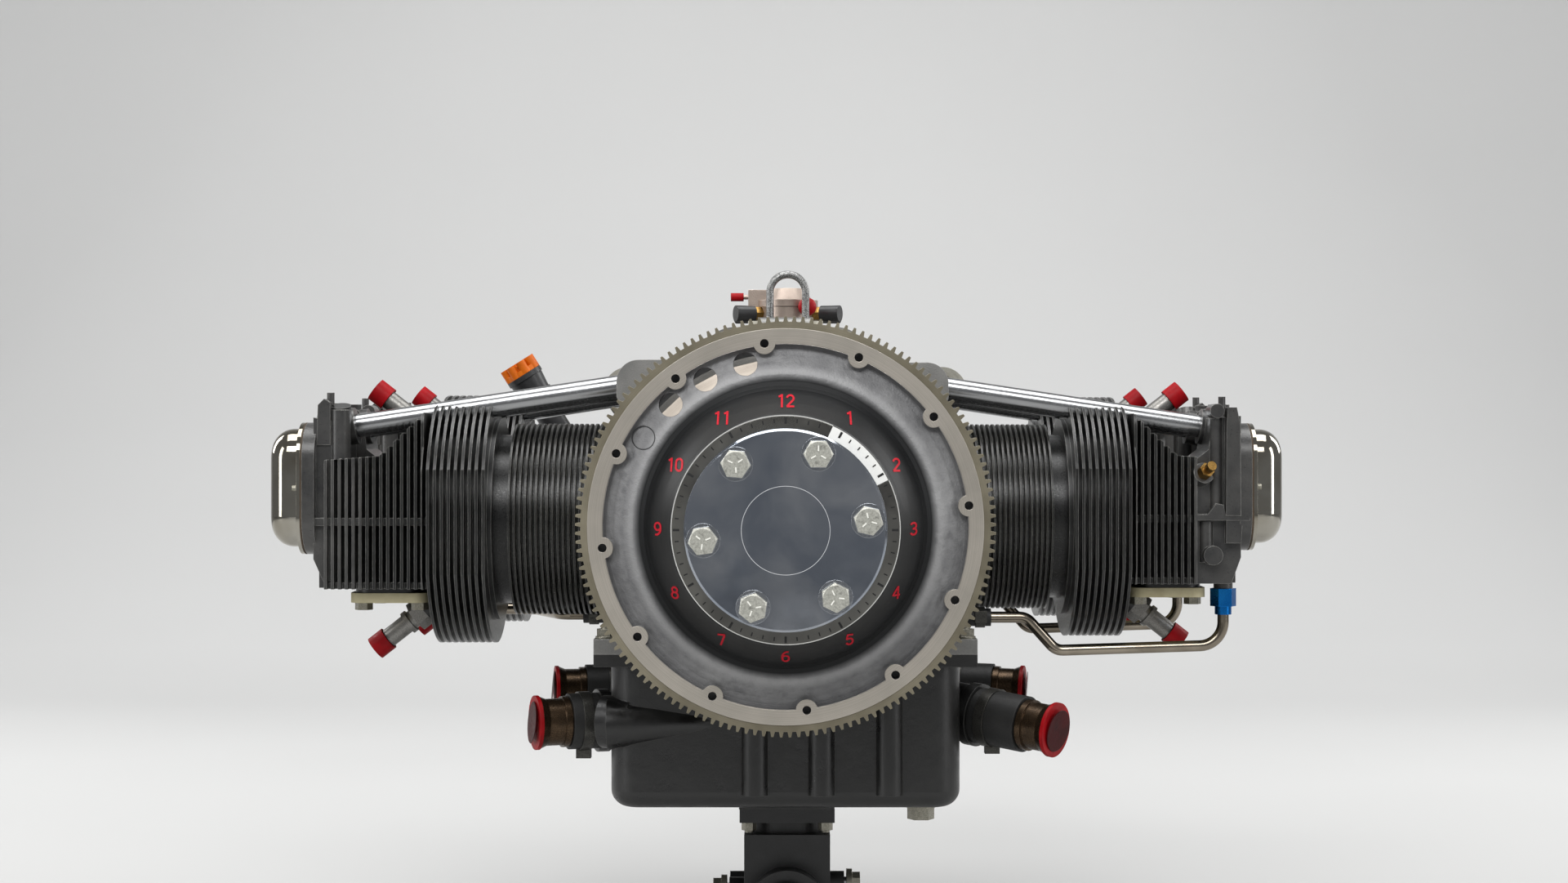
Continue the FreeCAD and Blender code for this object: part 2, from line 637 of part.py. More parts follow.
def head_fins():
    """Even plates trimmed by one envelope: round over the barrel, stepped in and sloping over the ports."""
    x0, x1 = float(D.head_start), float(D.box_flange)
    side = [(x0, -200, -103), (289, -200, -103), (289, -200, D.head_low), (x1, -200, D.head_low),
            (x1, -200, D.head_high), (326, -200, 53), (304, -200, 74), (288, -200, 90), (280, -200, 103),
            (x0, -200, 103)]
    side_view = extrusion("head_side_view", polygon(side), (0, 400, 0))
    big = common("head_big", cylinder("head_big_round", D.head_big_radius, 60, (x0, 0, 0), (1, 0, 0)),
                 box("head_big_square", (x0, -1 * D.head_big_half, -110), (D.head_step + 2, D.head_big_half, 110)))
    small_outline = rounded_wire([(288, -84, -80), (288, 84, -80), (288, 84, 98), (288, -84, 98)], 22)
    small = extrusion("head_small", small_outline, (x1 - 288, 0, 0))
    trim = common("head_envelope", fuse("head_plan", big, small), side_view)
    plates = []
    for i in range(int(DIMENSIONS["head_fin_count"])):
        x = D.head_fin_start + D.head_fin_pitch * i
        y_low = -110 if float(x) < float(D.fin_side_b_end) else 0
        plates.append(box(f"head_plate_{i + 1}", (x, y_low, -110), (x + D.head_fin_thick, 110, 110)))
    return common("head_fin_stack", trim, compound("head_plates", plates))


def head_casting():
    """Barrel band, combustion dome, port block and rocker box as one casting, with the fins fused on."""
    x0 = D.head_start
    top, low = D.head_high, D.head_low
    band = cone("head_band", 84, 82, 50, (x0, 0, 0), (1, 0, 0))
    block = box("head_block", (287, -62, low), (D.box_flange, 62, top - 8))
    rail = box("head_side_rail", (288, -72, -3), (D.box_flange, 80, 3))
    sill = box("head_sill", (289, -76, low), (368, 76, low + 5))
    box_wall = extrusion("rocker_box", polygon([
        (D.fin_side_b_end, -76, low), (372, -76, low), (D.box_flange + 2, -76, -32),
        (D.box_flange + 2, -76, 86), (356, -76, 84), (353, -76, 58), (D.fin_side_b_end, -76, 48)]), (0, 58, 0))
    box_back = extrusion("rocker_box_back", polygon([
        (362, -70, low + 6), (372, -70, low + 6), (D.box_flange + 2, -70, -30),
        (D.box_flange + 2, -70, 84), (362, -70, 80)]), (0, 146, 0))
    flange = rounded_plate("rocker_flange", (-1 * D.cover_width / 2, D.cover_bottom),
                           (D.cover_width / 2, D.cover_top), D.cover_corner, 10, D.box_flange)
    ledge = box("rocker_ledge", (D.fin_side_b_end, -84, -1), (D.box_face - 2, -70, 4))
    ledge_ear = extrusion("ledge_ear", polygon([(350, -84, 3), (366, -84, 3), (364, -84, 12), (358, -84, 13)]), (0, 5, 0))
    pillar = extrusion("rocker_pillar", polygon([
        (366, -85, 3), (378.5, -85, 3), (378, -85, 78), (375, -85, 93), (367.5, -85, 93), (366.5, -85, 78)]), (0, 14, 0))
    pillar_low = extrusion("rocker_pillar_foot", polygon([
        (366.5, -83, -20), (379, -83, -20), (380, -83, -1), (366.5, -83, -1)]), (0, 12, 0))
    rear_post = extrusion("rocker_rear_post", polygon([
        (366, 60, 62), (377, 60, 62), (376, 60, 94), (371, 60, 99), (366, 60, 96)]), (0, 18, 0))
    pieces = [band, block, rail, sill, box_wall, box_back, flange, ledge, ledge_ear, pillar, pillar_low, rear_post,
              cylinder("rocker_ridge", 5, 78, (359, -76, 6), (0, 0, 1)),
              cylinder("rocker_low_ridge", 6, 34, (351, -74, -36), (0, 0, 1)),
              cylinder("cover_stud_boss_front", 6, 24, (359, -84, 90), (0, 1, 0)),
              cylinder("cover_stud_nub_front", 3, 12, (364, -76, 90), (0, 0, 1)),
              cylinder("cover_stud_nub_rear", 3, 10, (367, 70, 94), (0, 0, 1)),
              cylinder("rocker_rear_ridge", 8, 40, (359, 71, 50), (0, 0, 1)),
              cylinder("rocker_rear_cap", 8, 10, (359, 66, 84), (0, 0.3, 1))]
    slope = (float(D.tube_outer_x - D.tube_inner_x), 0, float(D.tube_outer_z - D.tube_inner_z))
    for side in (-1, 1):
        y = side * float(D.tube_offset)
        name = "front" if side < 0 else "rear"
        pieces.append(cylinder(f"tube_socket_{name}", 15, 30, (352, y, 77.6), slope))
        pieces.append(cylinder(f"rocker_boss_{name}", 10, 36, (368, y * 1.25 - 18 * side, 83), (0, side, 0)))
        pieces.append(cylinder(f"rocker_lug_{name}", 9, 38, (369, y, 58), (0, 0, 1)))
    for sign in (-1, 1):
        direction = (math.cos(math.radians(38)), 0, sign * math.sin(math.radians(38)))
        pieces.append(cylinder(f"plug_boss_{'low' if sign < 0 else 'high'}", 15, 26.3,
                               (280, 0, sign * 59.37), direction))
    for y, name in ((42, "exhaust"), (-42, "intake")):
        pieces.append(rounded_port(f"{name}_port", y))
    pieces.append(cylinder("nozzle_boss", 9, 12, (345, -70, 34), (0.25, -0.85, 0.35)))
    pieces.append(cylinder("return_boss", 8, 12, (369, D.return_offset, low - 5), (0, 0, 1)))
    pieces.append(cylinder("rear_return_boss", 8, 14, (355, -74, -30), (0, -1, 0)))
    fins = head_fins()
    blank = fuse("head_blank", fins, *pieces)
    hollow = cylinder("head_seat", D.bore_radius + D.barrel_wall + 0.02, 36, (x0, 0, 0), (1, 0, 0))
    dome = cone("head_dome", D.bore_radius, 40, 18, (D.barrel_end, 0, 0), (1, 0, 0))
    well = rounded_plate("rocker_well", (-70, -16), (70, 66), 18, 30, 372)
    tools = [hollow, dome, well]
    for y, name in ((42, "exhaust"), (-42, "intake")):
        tools.append(cylinder(f"{name}_way", 19, 34, (322, y, -80), (0, 0, 1)))
    for side in (-1, 1):
        y = side * float(D.tube_offset)
        name = "front" if side < 0 else "rear"
        tools.append(cylinder(f"tube_bore_{name}", D.tube_radius + 0.02, 10,
                              (float(D.tube_outer_x) - 9.885, y, float(D.tube_outer_z) + 1.483), slope))
        tools.append(cylinder(f"tube_channel_{name}", D.tube_radius + 1.2, 122,
                              (float(D.tube_outer_x) - 130.5, y, float(D.tube_outer_z) + 19.58), slope))
    for sign in (-1, 1):
        direction = (math.cos(math.radians(38)), 0, sign * math.sin(math.radians(38)))
        mouth = (float(D.plug_x) + direction[0], 0, sign * float(D.plug_z) + direction[2])
        tools.append(cylinder(f"plug_well_{'low' if sign < 0 else 'high'}", 16, 60, mouth, direction))
    return cut("head", blank, *tools)


def rounded_port(name, y):
    """The oval flange round a port in the underside of the head."""
    z = float(D.head_low) - 4
    wire = rounded_wire([(294, y - 24, z), (350, y - 24, z), (350, y + 24, z), (294, y + 24, z)], 16)
    return extrusion(name, wire, (0, 0, 12))


def cover_master():
    """Pressed rocker cover: deep drawn dome with generous corners on a flat flange."""
    x0 = float(D.box_face + D.gasket_thick)
    half = float(D.cover_width) / 2
    y, low, high = half - 6, float(D.cover_bottom) + 6, float(D.cover_top) - 5
    skin = float(D.cover_skin)

    def dome(inset, start, depth):
        corners = [(start, -y + inset, low + inset), (start, y - inset, low + inset),
                   (start, y - inset, high - inset), (start, -y + inset, high - inset)]
        wire = rounded_wire(corners, float(D.cover_corner) - 5 - inset)
        solid = Part.Face(wire).extrude(V(depth, 0, 0))
        end = start + depth
        rim = [e for e in solid.Edges if all(abs(v.X - end) < 1e-6 for v in e.Vertexes)]
        return solid.makeFillet(18 - inset, rim)

    depth = float(D.cover_depth)
    flange = feature("cover_flange", Part.Face(rounded_wire(
        [(x0, -half, D.cover_bottom), (x0, half, D.cover_bottom), (x0, half, D.cover_top),
         (x0, -half, D.cover_top)], D.cover_corner)).extrude(V(3, 0, 0)))
    outer = feature("cover_outer", dome(0, x0, depth))
    inner = feature("cover_inner", dome(skin, x0 - 1, depth + 1 - skin))
    return cut("rocker_cover", fuse("cover_blank", flange, outer), inner)


def gasket_master():
    half = float(D.cover_width) / 2
    outer = rounded_plate("gasket_outer", (-half, D.cover_bottom), (half, D.cover_top), D.cover_corner,
                          D.gasket_thick, D.box_face)
    inner = rounded_plate("gasket_inner", (-half + 12, D.cover_bottom + 11), (half - 12, D.cover_top - 10), 20,
                          4, D.box_face - 1)
    return cut("rocker_gasket", outer, inner)


def screw_masters():
    """Fillister screws round the cover's flange."""
    half, top, low = float(D.cover_width) / 2 - 3, float(D.cover_top) - 2.6, float(D.cover_bottom) + 3
    places = [(-half, 27), (half, 27), (-28, top), (28, top), (-28, low), (28, low)]
    x = float(D.box_face + D.gasket_thick) + 3
    return [cylinder(f"cover_screw_{i + 1}", 2.35, 3.4, (x, y, z), (1, 0, 0)) for i, (y, z) in enumerate(places)]


def tube_masters():
    start = [(float(D.tube_inner_x), side * float(D.tube_offset), float(D.tube_inner_z)) for side in (-1, 1)]
    stop = [(float(D.tube_outer_x), p[1], float(D.tube_outer_z)) for p in start]
    made = []
    for i, (a, b) in enumerate(zip(start, stop)):
        along = V(*b) - V(*a)
        tube = cut(f"pushrod_tube_{i + 1}", cylinder(f"tube_outer_{i + 1}", D.tube_radius, along.Length, a, along),
                   cylinder(f"tube_inner_{i + 1}", D.tube_radius - D.tube_wall, along.Length, a, along))
        made.append(tube)
    return made


def plug_masters():
    """Shielded aircraft spark plugs, upper and lower, and the caps on their threads."""
    plugs, caps = [], []
    for sign, name in ((1, "high"), (-1, "low")):
        angle = math.radians(DIMENSIONS["plug_angle"])
        direction = (math.cos(angle), 0, sign * math.sin(angle))

        def along(s):
            return (float(D.plug_x) + s * direction[0], 0, sign * float(D.plug_z) + s * direction[2])

        plugs.append(fuse(
            f"plug_{name}",
            prism(f"plug_{name}_hex", 22.2, 11, along(1), direction),
            cylinder(f"plug_{name}_barrel", D.plug_radius, 30, along(10), direction),
            cylinder(f"plug_{name}_collar", D.plug_radius + 2, 4, along(16), direction)))
        caps.append(cylinder(f"plug_cap_{name}", D.plug_cap_radius, 14, along(40.02), direction))
    return plugs, caps


def rear_return_masters():
    """The right bank's drain leaves the rear face of its rocker box and runs behind the head."""
    y, z = D.return_offset, D.return_z
    nut = cut("rear_return_nut", fuse("rear_return_nut_blank", prism("rear_return_hex", 19, 15, (355, -88, -30), (0, -1, 0)),
                                      cylinder("rear_return_sleeve", 7, 7, (355, -103, -30), (0, -1, 0)),
                                      cylinder("rear_return_neck", 7.4, 2, (355, -88, -30), (0, -1, 0))),
              cylinder("rear_return_bore", 4.77, 40, (355, -80, -30), (0, -1, 0)))
    tube = pipe("rear_return_tube", [(355, -89, -30), (355, -126, -30), (296, -126, z), (222, -120, z), (192, y, z),
                                     (160, y, z)], 4.75, (0, 14, 14, 14, 12, 0), bore=3.6)
    return nut, tube


def return_masters():
    """The rocker box drain: flare nut, bent tube, hose and its clamp at the crankcase."""
    y, x, low, z = D.return_offset, 369, float(D.head_low) - 5, D.return_z
    nut = cut("return_nut", fuse("return_nut_blank", prism("return_nut_hex", 19, 15, (x, y, low - 15)),
                                 cylinder("return_nut_sleeve", 7, 7, (x, y, low - 22)),
                                 cylinder("return_nut_neck", 7.4, 4, (x, y, low - 4))),
              cylinder("return_nut_bore", 4.77, 40, (x, y, low - 30)))
    tube = pipe("return_tube", [(x, y, low - 3), (x, y, -107), (228, y, -111.5), (203, y, z), (160, y, z)],
                4.75, (0, 20, 13, 13, 0), bore=3.6)
    hose = cut("return_hose", cylinder("return_hose_outer", 7.5, 39, (134, y, z), (1, 0, 0)),
               cylinder("return_hose_bore", 4.77, 60, (134, y, z), (1, 0, 0)))
    clamp = cut("return_clamp", fuse("return_clamp_band", cylinder("clamp_ring", 8.8, 8, (160, y, z), (1, 0, 0)),
                                     box("clamp_screw", (159, y - 12, z - 4), (169, y - 6, z + 6))),
                cylinder("return_clamp_bore", 7.52, 20, (155, y, z), (1, 0, 0)))
    return nut, tube, hose, clamp


def port_cover_masters():
    """Shipping plates over the two ports in the head, each held by a pair of nuts."""
    covers, nuts = [], []
    z = float(D.head_low) - 4
    for y, name in ((42, "exhaust"), (-42, "intake")):
        wire = rounded_wire([(290, y - 25, z - 8), (353, y - 25, z - 8), (353, y + 25, z - 8), (290, y + 25, z - 8)], 11)
        covers.append(extrusion(f"{name}_cover", wire, (0, 0, 8)))
        for x in (299, 345):
            nuts.append(prism(f"{name}_nut_{x}", 12.7, 7, (x, y, z - 15)))
    return covers, nuts


def piston_master():
    """Piston with three ring grooves, hollow below the crown, at half stroke."""
    body = new_body("piston")
    outer = D.bore_radius - D.piston_gap
    crown = D.piston_crown
    skirt = crown - D.piston_height
    inner = outer - 7
    outline = [(skirt, inner), (skirt, outer)]
    for i in (0, 1, 2):
        x = crown - 34 + 9 * i
        outline += [(x, outer), (x, outer - 3), (x + 2.4, outer - 3), (x + 2.4, outer)]
    outline += [(crown, outer), (crown, 0), (crown - 12, 0), (crown - 12, inner)]
    revolve(body, "piston_turning", sketch_profile(body, "piston_profile", "XY_Plane", outline), "H_Axis")
    return body


# ---------------------------------------------------------------- crankcase and what is bolted to it


def crankcase():
    """One machined block split on the crankshaft's plane into two halves."""
    front, rear, top = D.case_front, D.case_rear, D.case_top
    base = D.case_sump_plane
    barrel_box = extrusion("case_body", polygon([
        (-118, front, -92), (118, front, -92), (118, front, 92), (112, front, 104), (60, front, top - 6),
        (36, front, top), (-36, front, top), (-60, front, top - 6), (-112, front, 104), (-118, front, 92)]),
        (0, float(rear - front), 0))
    flange = box("case_sump_flange", (-1 * D.case_flange, 84, base), (D.case_flange, 564, base + 12))
    pieces = [barrel_box, flange,
              cone("case_nose", 78, 58, 76, (0, front, 0), (0, -1, 0)),
              cylinder("case_nose_ring", 58, 30, (0, D.nose_front, 0), (0, 1, 0))]
    for number in (1, 2, 3, 4):
        side = -1 if number % 2 else 1
        y = float(station(number))
        name = f"cylinder_{number}"
        outer = 137 * side
        pieces.append(extrusion(f"{name}_tappet_box", rounded_wire([
            (side * 40, y - 62, 96), (outer, y - 62, 96), (outer, y - 62, 131), (side * 40, y - 62, 131)],
            (1, 6, 18, 1)), (0, 124, 0)))
        pieces.append(cylinder(f"{name}_pad", 84, 12, (side * 106, y, 0), (side, 0, 0)))
        pieces.append(cylinder(f"{name}_return_boss", 10, 26, (side * 108, y + side * D.return_offset.value,
                                                               D.return_z), (side, 0, 0)))
    pieces += case_ribs()
    blank = fuse("case_blank", *pieces)
    tools = [
        cylinder("chamber_front", D.chamber_radius, 158, (0, 149, 0), (0, 1, 0)),
        cylinder("chamber_rear", D.chamber_radius, 159, (0, 390, 0), (0, 1, 0)),
        cylinder("main_bore", D.main_radius + D.running_gap, 760, (0, -60, 0), (0, 1, 0)),
        cylinder("seal_bore", 44, 24, (0, D.nose_front - 1, 0), (0, 1, 0)),
        cylinder("nose_relief", D.nose_radius + 1.5, 80, (0, D.nose_front, 0), (0, 1, 0)),
        cylinder("cam_bore", D.cam_shaft + D.running_gap, 520, (0, 118, D.cam_height), (0, 1, 0)),
        cylinder("cam_tunnel_front", D.cam_tunnel, 158, (0, 152, D.cam_height), (0, 1, 0)),
        cylinder("cam_tunnel_rear", D.cam_tunnel, 158, (0, 390, D.cam_height), (0, 1, 0)),
        box("drain_front", (-66, 152, -130), (66, 300, -60)),
        box("drain_rear", (-66, 393, -130), (66, 545, -60)),
    ]
    slope = (float(D.tube_outer_x - D.tube_inner_x), 0, float(D.tube_outer_z - D.tube_inner_z))
    for number in (1, 2, 3, 4):
        side = -1 if number % 2 else 1
        y = float(station(number))
        tools.append(cylinder(f"skirt_bore_{number}", D.bore_radius + D.barrel_wall + 0.02, 70,
                              (side * 60, y, 0), (side, 0, 0)))
        for offset in (-33, 33):
            tools.append(cylinder(f"tube_seat_{number}_{offset + 33}", D.tube_radius + 0.02, 40,
                                  (side * float(D.tube_inner_x), y + offset, D.tube_inner_z),
                                  (side * slope[0], 0, slope[2])))
    block = cut("case_block", blank, *tools)
    for name, low, high in (("crankcase_right_half", -200, 0), ("crankcase_left_half", 0, 200)):
        window = box(name + "_window", (low, -80, -140), (high, 620, 200))
        keep(name, common(name, block, window))


def case_ribs():
    """Bosses for the through bolts on top of the split line, and stiffening ribs on the nose."""
    made = []
    for i, y in enumerate((110, 172, 350, 412, 474, 560)):
        made.append(cylinder(f"spine_boss_{i + 1}", 10, 44, (-22, y, 154), (1, 0, 0)))
    for i, angle in enumerate((35, 90, 145, 215, 270, 325)):
        x, z = polar(1, angle)
        rib = box(f"nose_rib_{i + 1}", (-3, -6, 40), (3, 62, 76))
        rib.Placement = FreeCAD.Placement(V(0, 0, 0), FreeCAD.Rotation(V(0, 1, 0), V(x, 0, z).getAngle(V(0, 0, 1))
                                          * (180 / math.pi) * (1 if x >= 0 else -1))).multiply(rib.Placement)
        made.append(rib)
    made.append(box("divider_pad", (-32, 222, 140), (32, 286, 152)))
    return made


def case_bolts():
    """Nuts and studs that clamp the halves along the spine."""
    made = []
    for i, y in enumerate((110, 172, 350, 412, 474, 560)):
        for side in (-1, 1):
            name = f"spine_nut_{i + 1}_{'right' if side < 0 else 'left'}"
            made.append(fuse(name, prism(f"{name}_hex", 12.7, 8, (22 * side, y, 154), (side, 0, 0)),
                             cylinder(f"{name}_stud", 4, 12, (22 * side, y, 154), (side, 0, 0))))
    return made


def base_nuts():
    """Hold-down nuts round each cylinder's base flange."""
    made = []
    for number in (1, 2, 3, 4):
        side = -1 if number % 2 else 1
        x = side * float(D.deck + D.barrel_flange_thick)
        for i in range(8):
            angle = math.radians(22.5 + 45 * i)
            y, z = float(station(number)) + 77.8 * math.cos(angle), 77.8 * math.sin(angle)
            made.append(prism(f"base_nut_{number}_{i + 1}", 12.7, 6.5, (x, y, z), (side, 0, 0)))
    return made


def front_seal():
    outer = cylinder("seal_outer", 43.98, 12, (0, D.nose_front + 4, 0), (0, 1, 0))
    inner = cylinder("seal_bore_inner", D.nose_radius + 0.3, 30, (0, D.nose_front - 4, 0), (0, 1, 0))
    return keep("crankshaft_seal", cut("crankshaft_seal", outer, inner))


def accessory_housing():
    """Rear housing over the timing gears, with pads for magnetos, pump and screen."""
    front, rear = D.case_rear, D.accessory_rear
    half, top = float(D.accessory_half), float(D.accessory_top)
    outline = [(-half, front, -98), (half, front, -98), (half, front, 96), (66, front, top), (-66, front, top),
               (-half, front, 96)]
    shell = extrusion("accessory_shell", rounded_wire(outline, (16, 16, 24, 30, 30, 24)), (0, float(rear - front), 0))
    lip = extrusion("accessory_lip", rounded_wire([(x * 1.05, y, z * 1.04) for x, y, z in
                                                   [(float(a), float(b), float(c)) for a, b, c in outline]],
                                                  (16, 16, 24, 30, 30, 24)), (0, 9, 0))
    hollow = extrusion("accessory_hollow", rounded_wire([
        (-half + 8, front - 1, -90), (half - 8, front - 1, -90), (half - 8, front - 1, 90), (60, front - 1, top - 8),
        (-60, front - 1, top - 8), (-half + 8, front - 1, 90)], (10, 10, 18, 22, 22, 18)), (0, 55, 0))
    pads = [cylinder("magneto_pad_right", 46, 6, (-60, rear, 82), (0, 1, 0)),
            cylinder("magneto_pad_left", 46, 6, (60, rear, 82), (0, 1, 0)),
            cylinder("pump_pad", 34, 6, (-52, rear, -46), (0, 1, 0)),
            box("screen_pad", (18, rear, -86), (88, rear + 6, -20))]
    idler_x, idler_z = idler_centre()
    post = cylinder("idler_post", 8.95, 56, (idler_x, front + 1, idler_z), (0, 1, 0))
    blank = cut("accessory_blank", fuse("accessory_outer", shell, lip, *pads), hollow)
    return keep("accessory_housing", fuse("accessory_housing", blank, post))


def magnetos():
    """Two magnetos, each a round body with a stepped distributor cap and a mounting flange."""
    made = []
    for side, name in ((-1, "right"), (1, "left")):
        x, z, y = 60 * side, 82, float(D.accessory_rear) + 6
        made.append(fuse(
            f"magneto_{name}",
            cylinder(f"magneto_{name}_flange", 44, 8, (x, y, z), (0, 1, 0)),
            cylinder(f"magneto_{name}_body", 39, 34, (x, y + 8, z), (0, 1, 0)),
            box(f"magneto_{name}_block", (x - 34, y + 30, z - 26), (x + 34, y + 52, z + 40)),
            cylinder(f"magneto_{name}_cap", 30, 6, (x, y + 50, z + 2), (0, 1, 0)),
        ))
    return keep("magnetos", compound("magnetos", made))


def rear_accessories():
    y = D.accessory_rear + 6
    pump = fuse("fuel_pump", cylinder("pump_base", 31, 12, (-52, y, -46), (0, 1, 0)),
                cylinder("pump_body", 27, 30, (-52, y + 10, -46), (0, 1, 0)),
                cylinder("pump_cap", 20, 10, (-52, y + 38, -46), (0, 1, 0)),
                cylinder("pump_inlet", 7, 40, (-82, y + 26, -46), (-0.2, 0, -1)),
                cylinder("pump_outlet", 7, 34, (-40, y + 26, -46), (0, 0, 1)))
    keep("fuel_pump", pump)
    screen = fuse("oil_screen_housing", box("screen_base", (20, y, -84), (86, y + 16, -22)),
                  cylinder("screen_barrel", 22, 46, (55, y + 13, -55), (0.25, 0.9, -0.2)),
                  prism("screen_plug", 28, 10, (66.5, y + 52, -63.5), (0.25, 0.9, -0.2)))
    keep("oil_screen_housing", screen)


def mount_brackets():
    """Dynafocal brackets on the rear corners: arms leaning back with a bored eye for the rubber mount."""
    made = []
    for side in (-1, 1):
        for level, z, tilt in (("upper", 78, 1), ("lower", -78, -1)):
            name = f"bracket_{'right' if side < 0 else 'left'}_{level}"
            eye_x, eye_y, eye_z = 156 * side, 614, z + 34 * tilt
            axis = bracket_axis(side, tilt)
            arm = loft_arm(f"{name}_arm", side, z, eye_x, eye_y, eye_z)
            start = [c - a * 17 for c, a in zip((eye_x, eye_y, eye_z), axis)]
            eye = cylinder(f"{name}_eye", 25, 34, start, axis)
            hole = cylinder(f"{name}_hole", 19.05, 60, [c - a * 30 for c, a in zip((eye_x, eye_y, eye_z), axis)], axis)
            made.append(cut(name, fuse(f"{name}_blank", arm, eye), hole))
    return keep("mount_brackets", compound("mount_brackets", made))


def bracket_axis(side, tilt):
    """Unit vector along a mount's bore, leaning towards the engine's centre of mass."""
    lean = math.radians(18)
    return (math.sin(lean) * side * 0.7071, math.cos(lean), math.sin(lean) * tilt * 0.7071)


def loft_arm(name, side, z, eye_x, eye_y, eye_z):
    """Foot on the crankcase wall, narrowing to the eye."""
    foot = Part.makePolygon([V(118 * side, 569, z - 14), V(118 * side, 589, z - 14), V(118 * side, 589, z + 14),
                             V(118 * side, 569, z + 14), V(118 * side, 569, z - 14)])
    tip_x = eye_x - 14 * side
    tip = Part.makePolygon([V(tip_x, eye_y - 16, eye_z - 16), V(tip_x, eye_y + 14, eye_z - 16),
                            V(tip_x, eye_y + 14, eye_z + 16), V(tip_x, eye_y - 16, eye_z + 16),
                            V(tip_x, eye_y - 16, eye_z - 16)])
    return feature(name, Part.makeLoft([foot, tip], True, True))


# ---------------------------------------------------------------- sump, induction and servo


def oil_sump():
    """Cast sump with the induction risers cast in, drain galleries on its front and a pad for the servo."""
    base = float(D.case_sump_plane)
    half, front, rear, bottom = (float(v) for v in (D.sump_half, D.sump_front, D.sump_rear, D.sump_bottom))
    top = base - float(D.sump_flange_thick)
    tub = Part.makeBox(2 * half, rear - front, top - bottom + 2, V(-half, front, bottom))
    upright = [e for e in tub.Edges if abs(e.Vertexes[0].X - e.Vertexes[1].X) < 1e-6
               and abs(e.Vertexes[0].Y - e.Vertexes[1].Y) < 1e-6]
    tub = tub.makeFillet(24, upright)
    floor = [e for e in tub.Edges if all(abs(v.Z - bottom) < 1e-6 for v in e.Vertexes)]
    tub_outer = feature("sump_tub", tub.makeFillet(14, floor))
    pieces = [tub_outer, box("sump_flange", (-152, 84, top), (152, 564, base))]
    for i, x in enumerate((-24.5, 28.5, 82.5)):
        pieces.append(cylinder(f"sump_gallery_{i + 1}", 10.5, top - bottom - 12, (x, front - 1, bottom + 12)))
    pieces.append(box("servo_pad", (-40, 254, bottom - 24), (42, 346, bottom + 4)))
    pieces.append(cylinder("drain_boss", 13, 14, (110, front + 46, bottom - 3)))
    for side in (-1, 1):
        pieces += induction_arm(side)
    hollow = box("sump_hollow", (-half + 8, front + 8, bottom + 8), (half - 8, rear - 8, base + 1))
    way = cylinder("servo_way", D.servo_bore, 32, (1.5, D.servo_y, bottom - 30))
    blank = fuse("sump_blank", *pieces)
    return keep("oil_sump", cut("oil_sump", blank, hollow, way, *induction_ways()))


INDUCTION = {
    # port name: (end of the cast arm, unit direction of the stub seen from above, slope)
    "front_right": ((-153, 146, -163), (-0.94, -0.33, 0.0)),
    "front_left": ((158, 143, -158.5), (0.80, -0.58, -0.10)),
    "rear_right": ((-146, 392, -162), (-0.98, -0.18, 0.0)),
    "rear_left": ((146, 392, -160), (0.97, -0.22, -0.02)),
}


def unit(vector):
    length = math.sqrt(sum(c * c for c in vector))
    return tuple(c / length for c in vector)


def step_from(point, direction, distance):
    return tuple(p + d * distance for p, d in zip(point, direction))


def induction_arm(side):
    """Bosses in which the intake risers end, and on the right the runner that crosses the sump's front."""
    made = []
    for name, (end, direction) in INDUCTION.items():
        if (end[0] > 0) != (side > 0):
            continue
        direction = unit(direction)
        start = step_from(end, direction, -58)
        made.append(cylinder(f"arm_{name}", 23.5, 59, start, direction))
        made.append(cylinder(f"arm_{name}_collar", 25.5, 9, step_from(end, direction, -8), direction))
    if side < 0:
        made.append(cone("front_runner", 20, 3, 120, (-142, 100, -161), (1, 0, 0.02)))
        made.append(cylinder("front_runner_heel", 21, 26, (-146, 112, -160), (1, -0.3, 0)))
    return made


def induction_ways():
    made = []
    for name, (end, direction) in INDUCTION.items():
        direction = unit(direction)
        made.append(cylinder(f"way_{name}", 20.52, 24, step_from(end, direction, -21), direction))
    return made


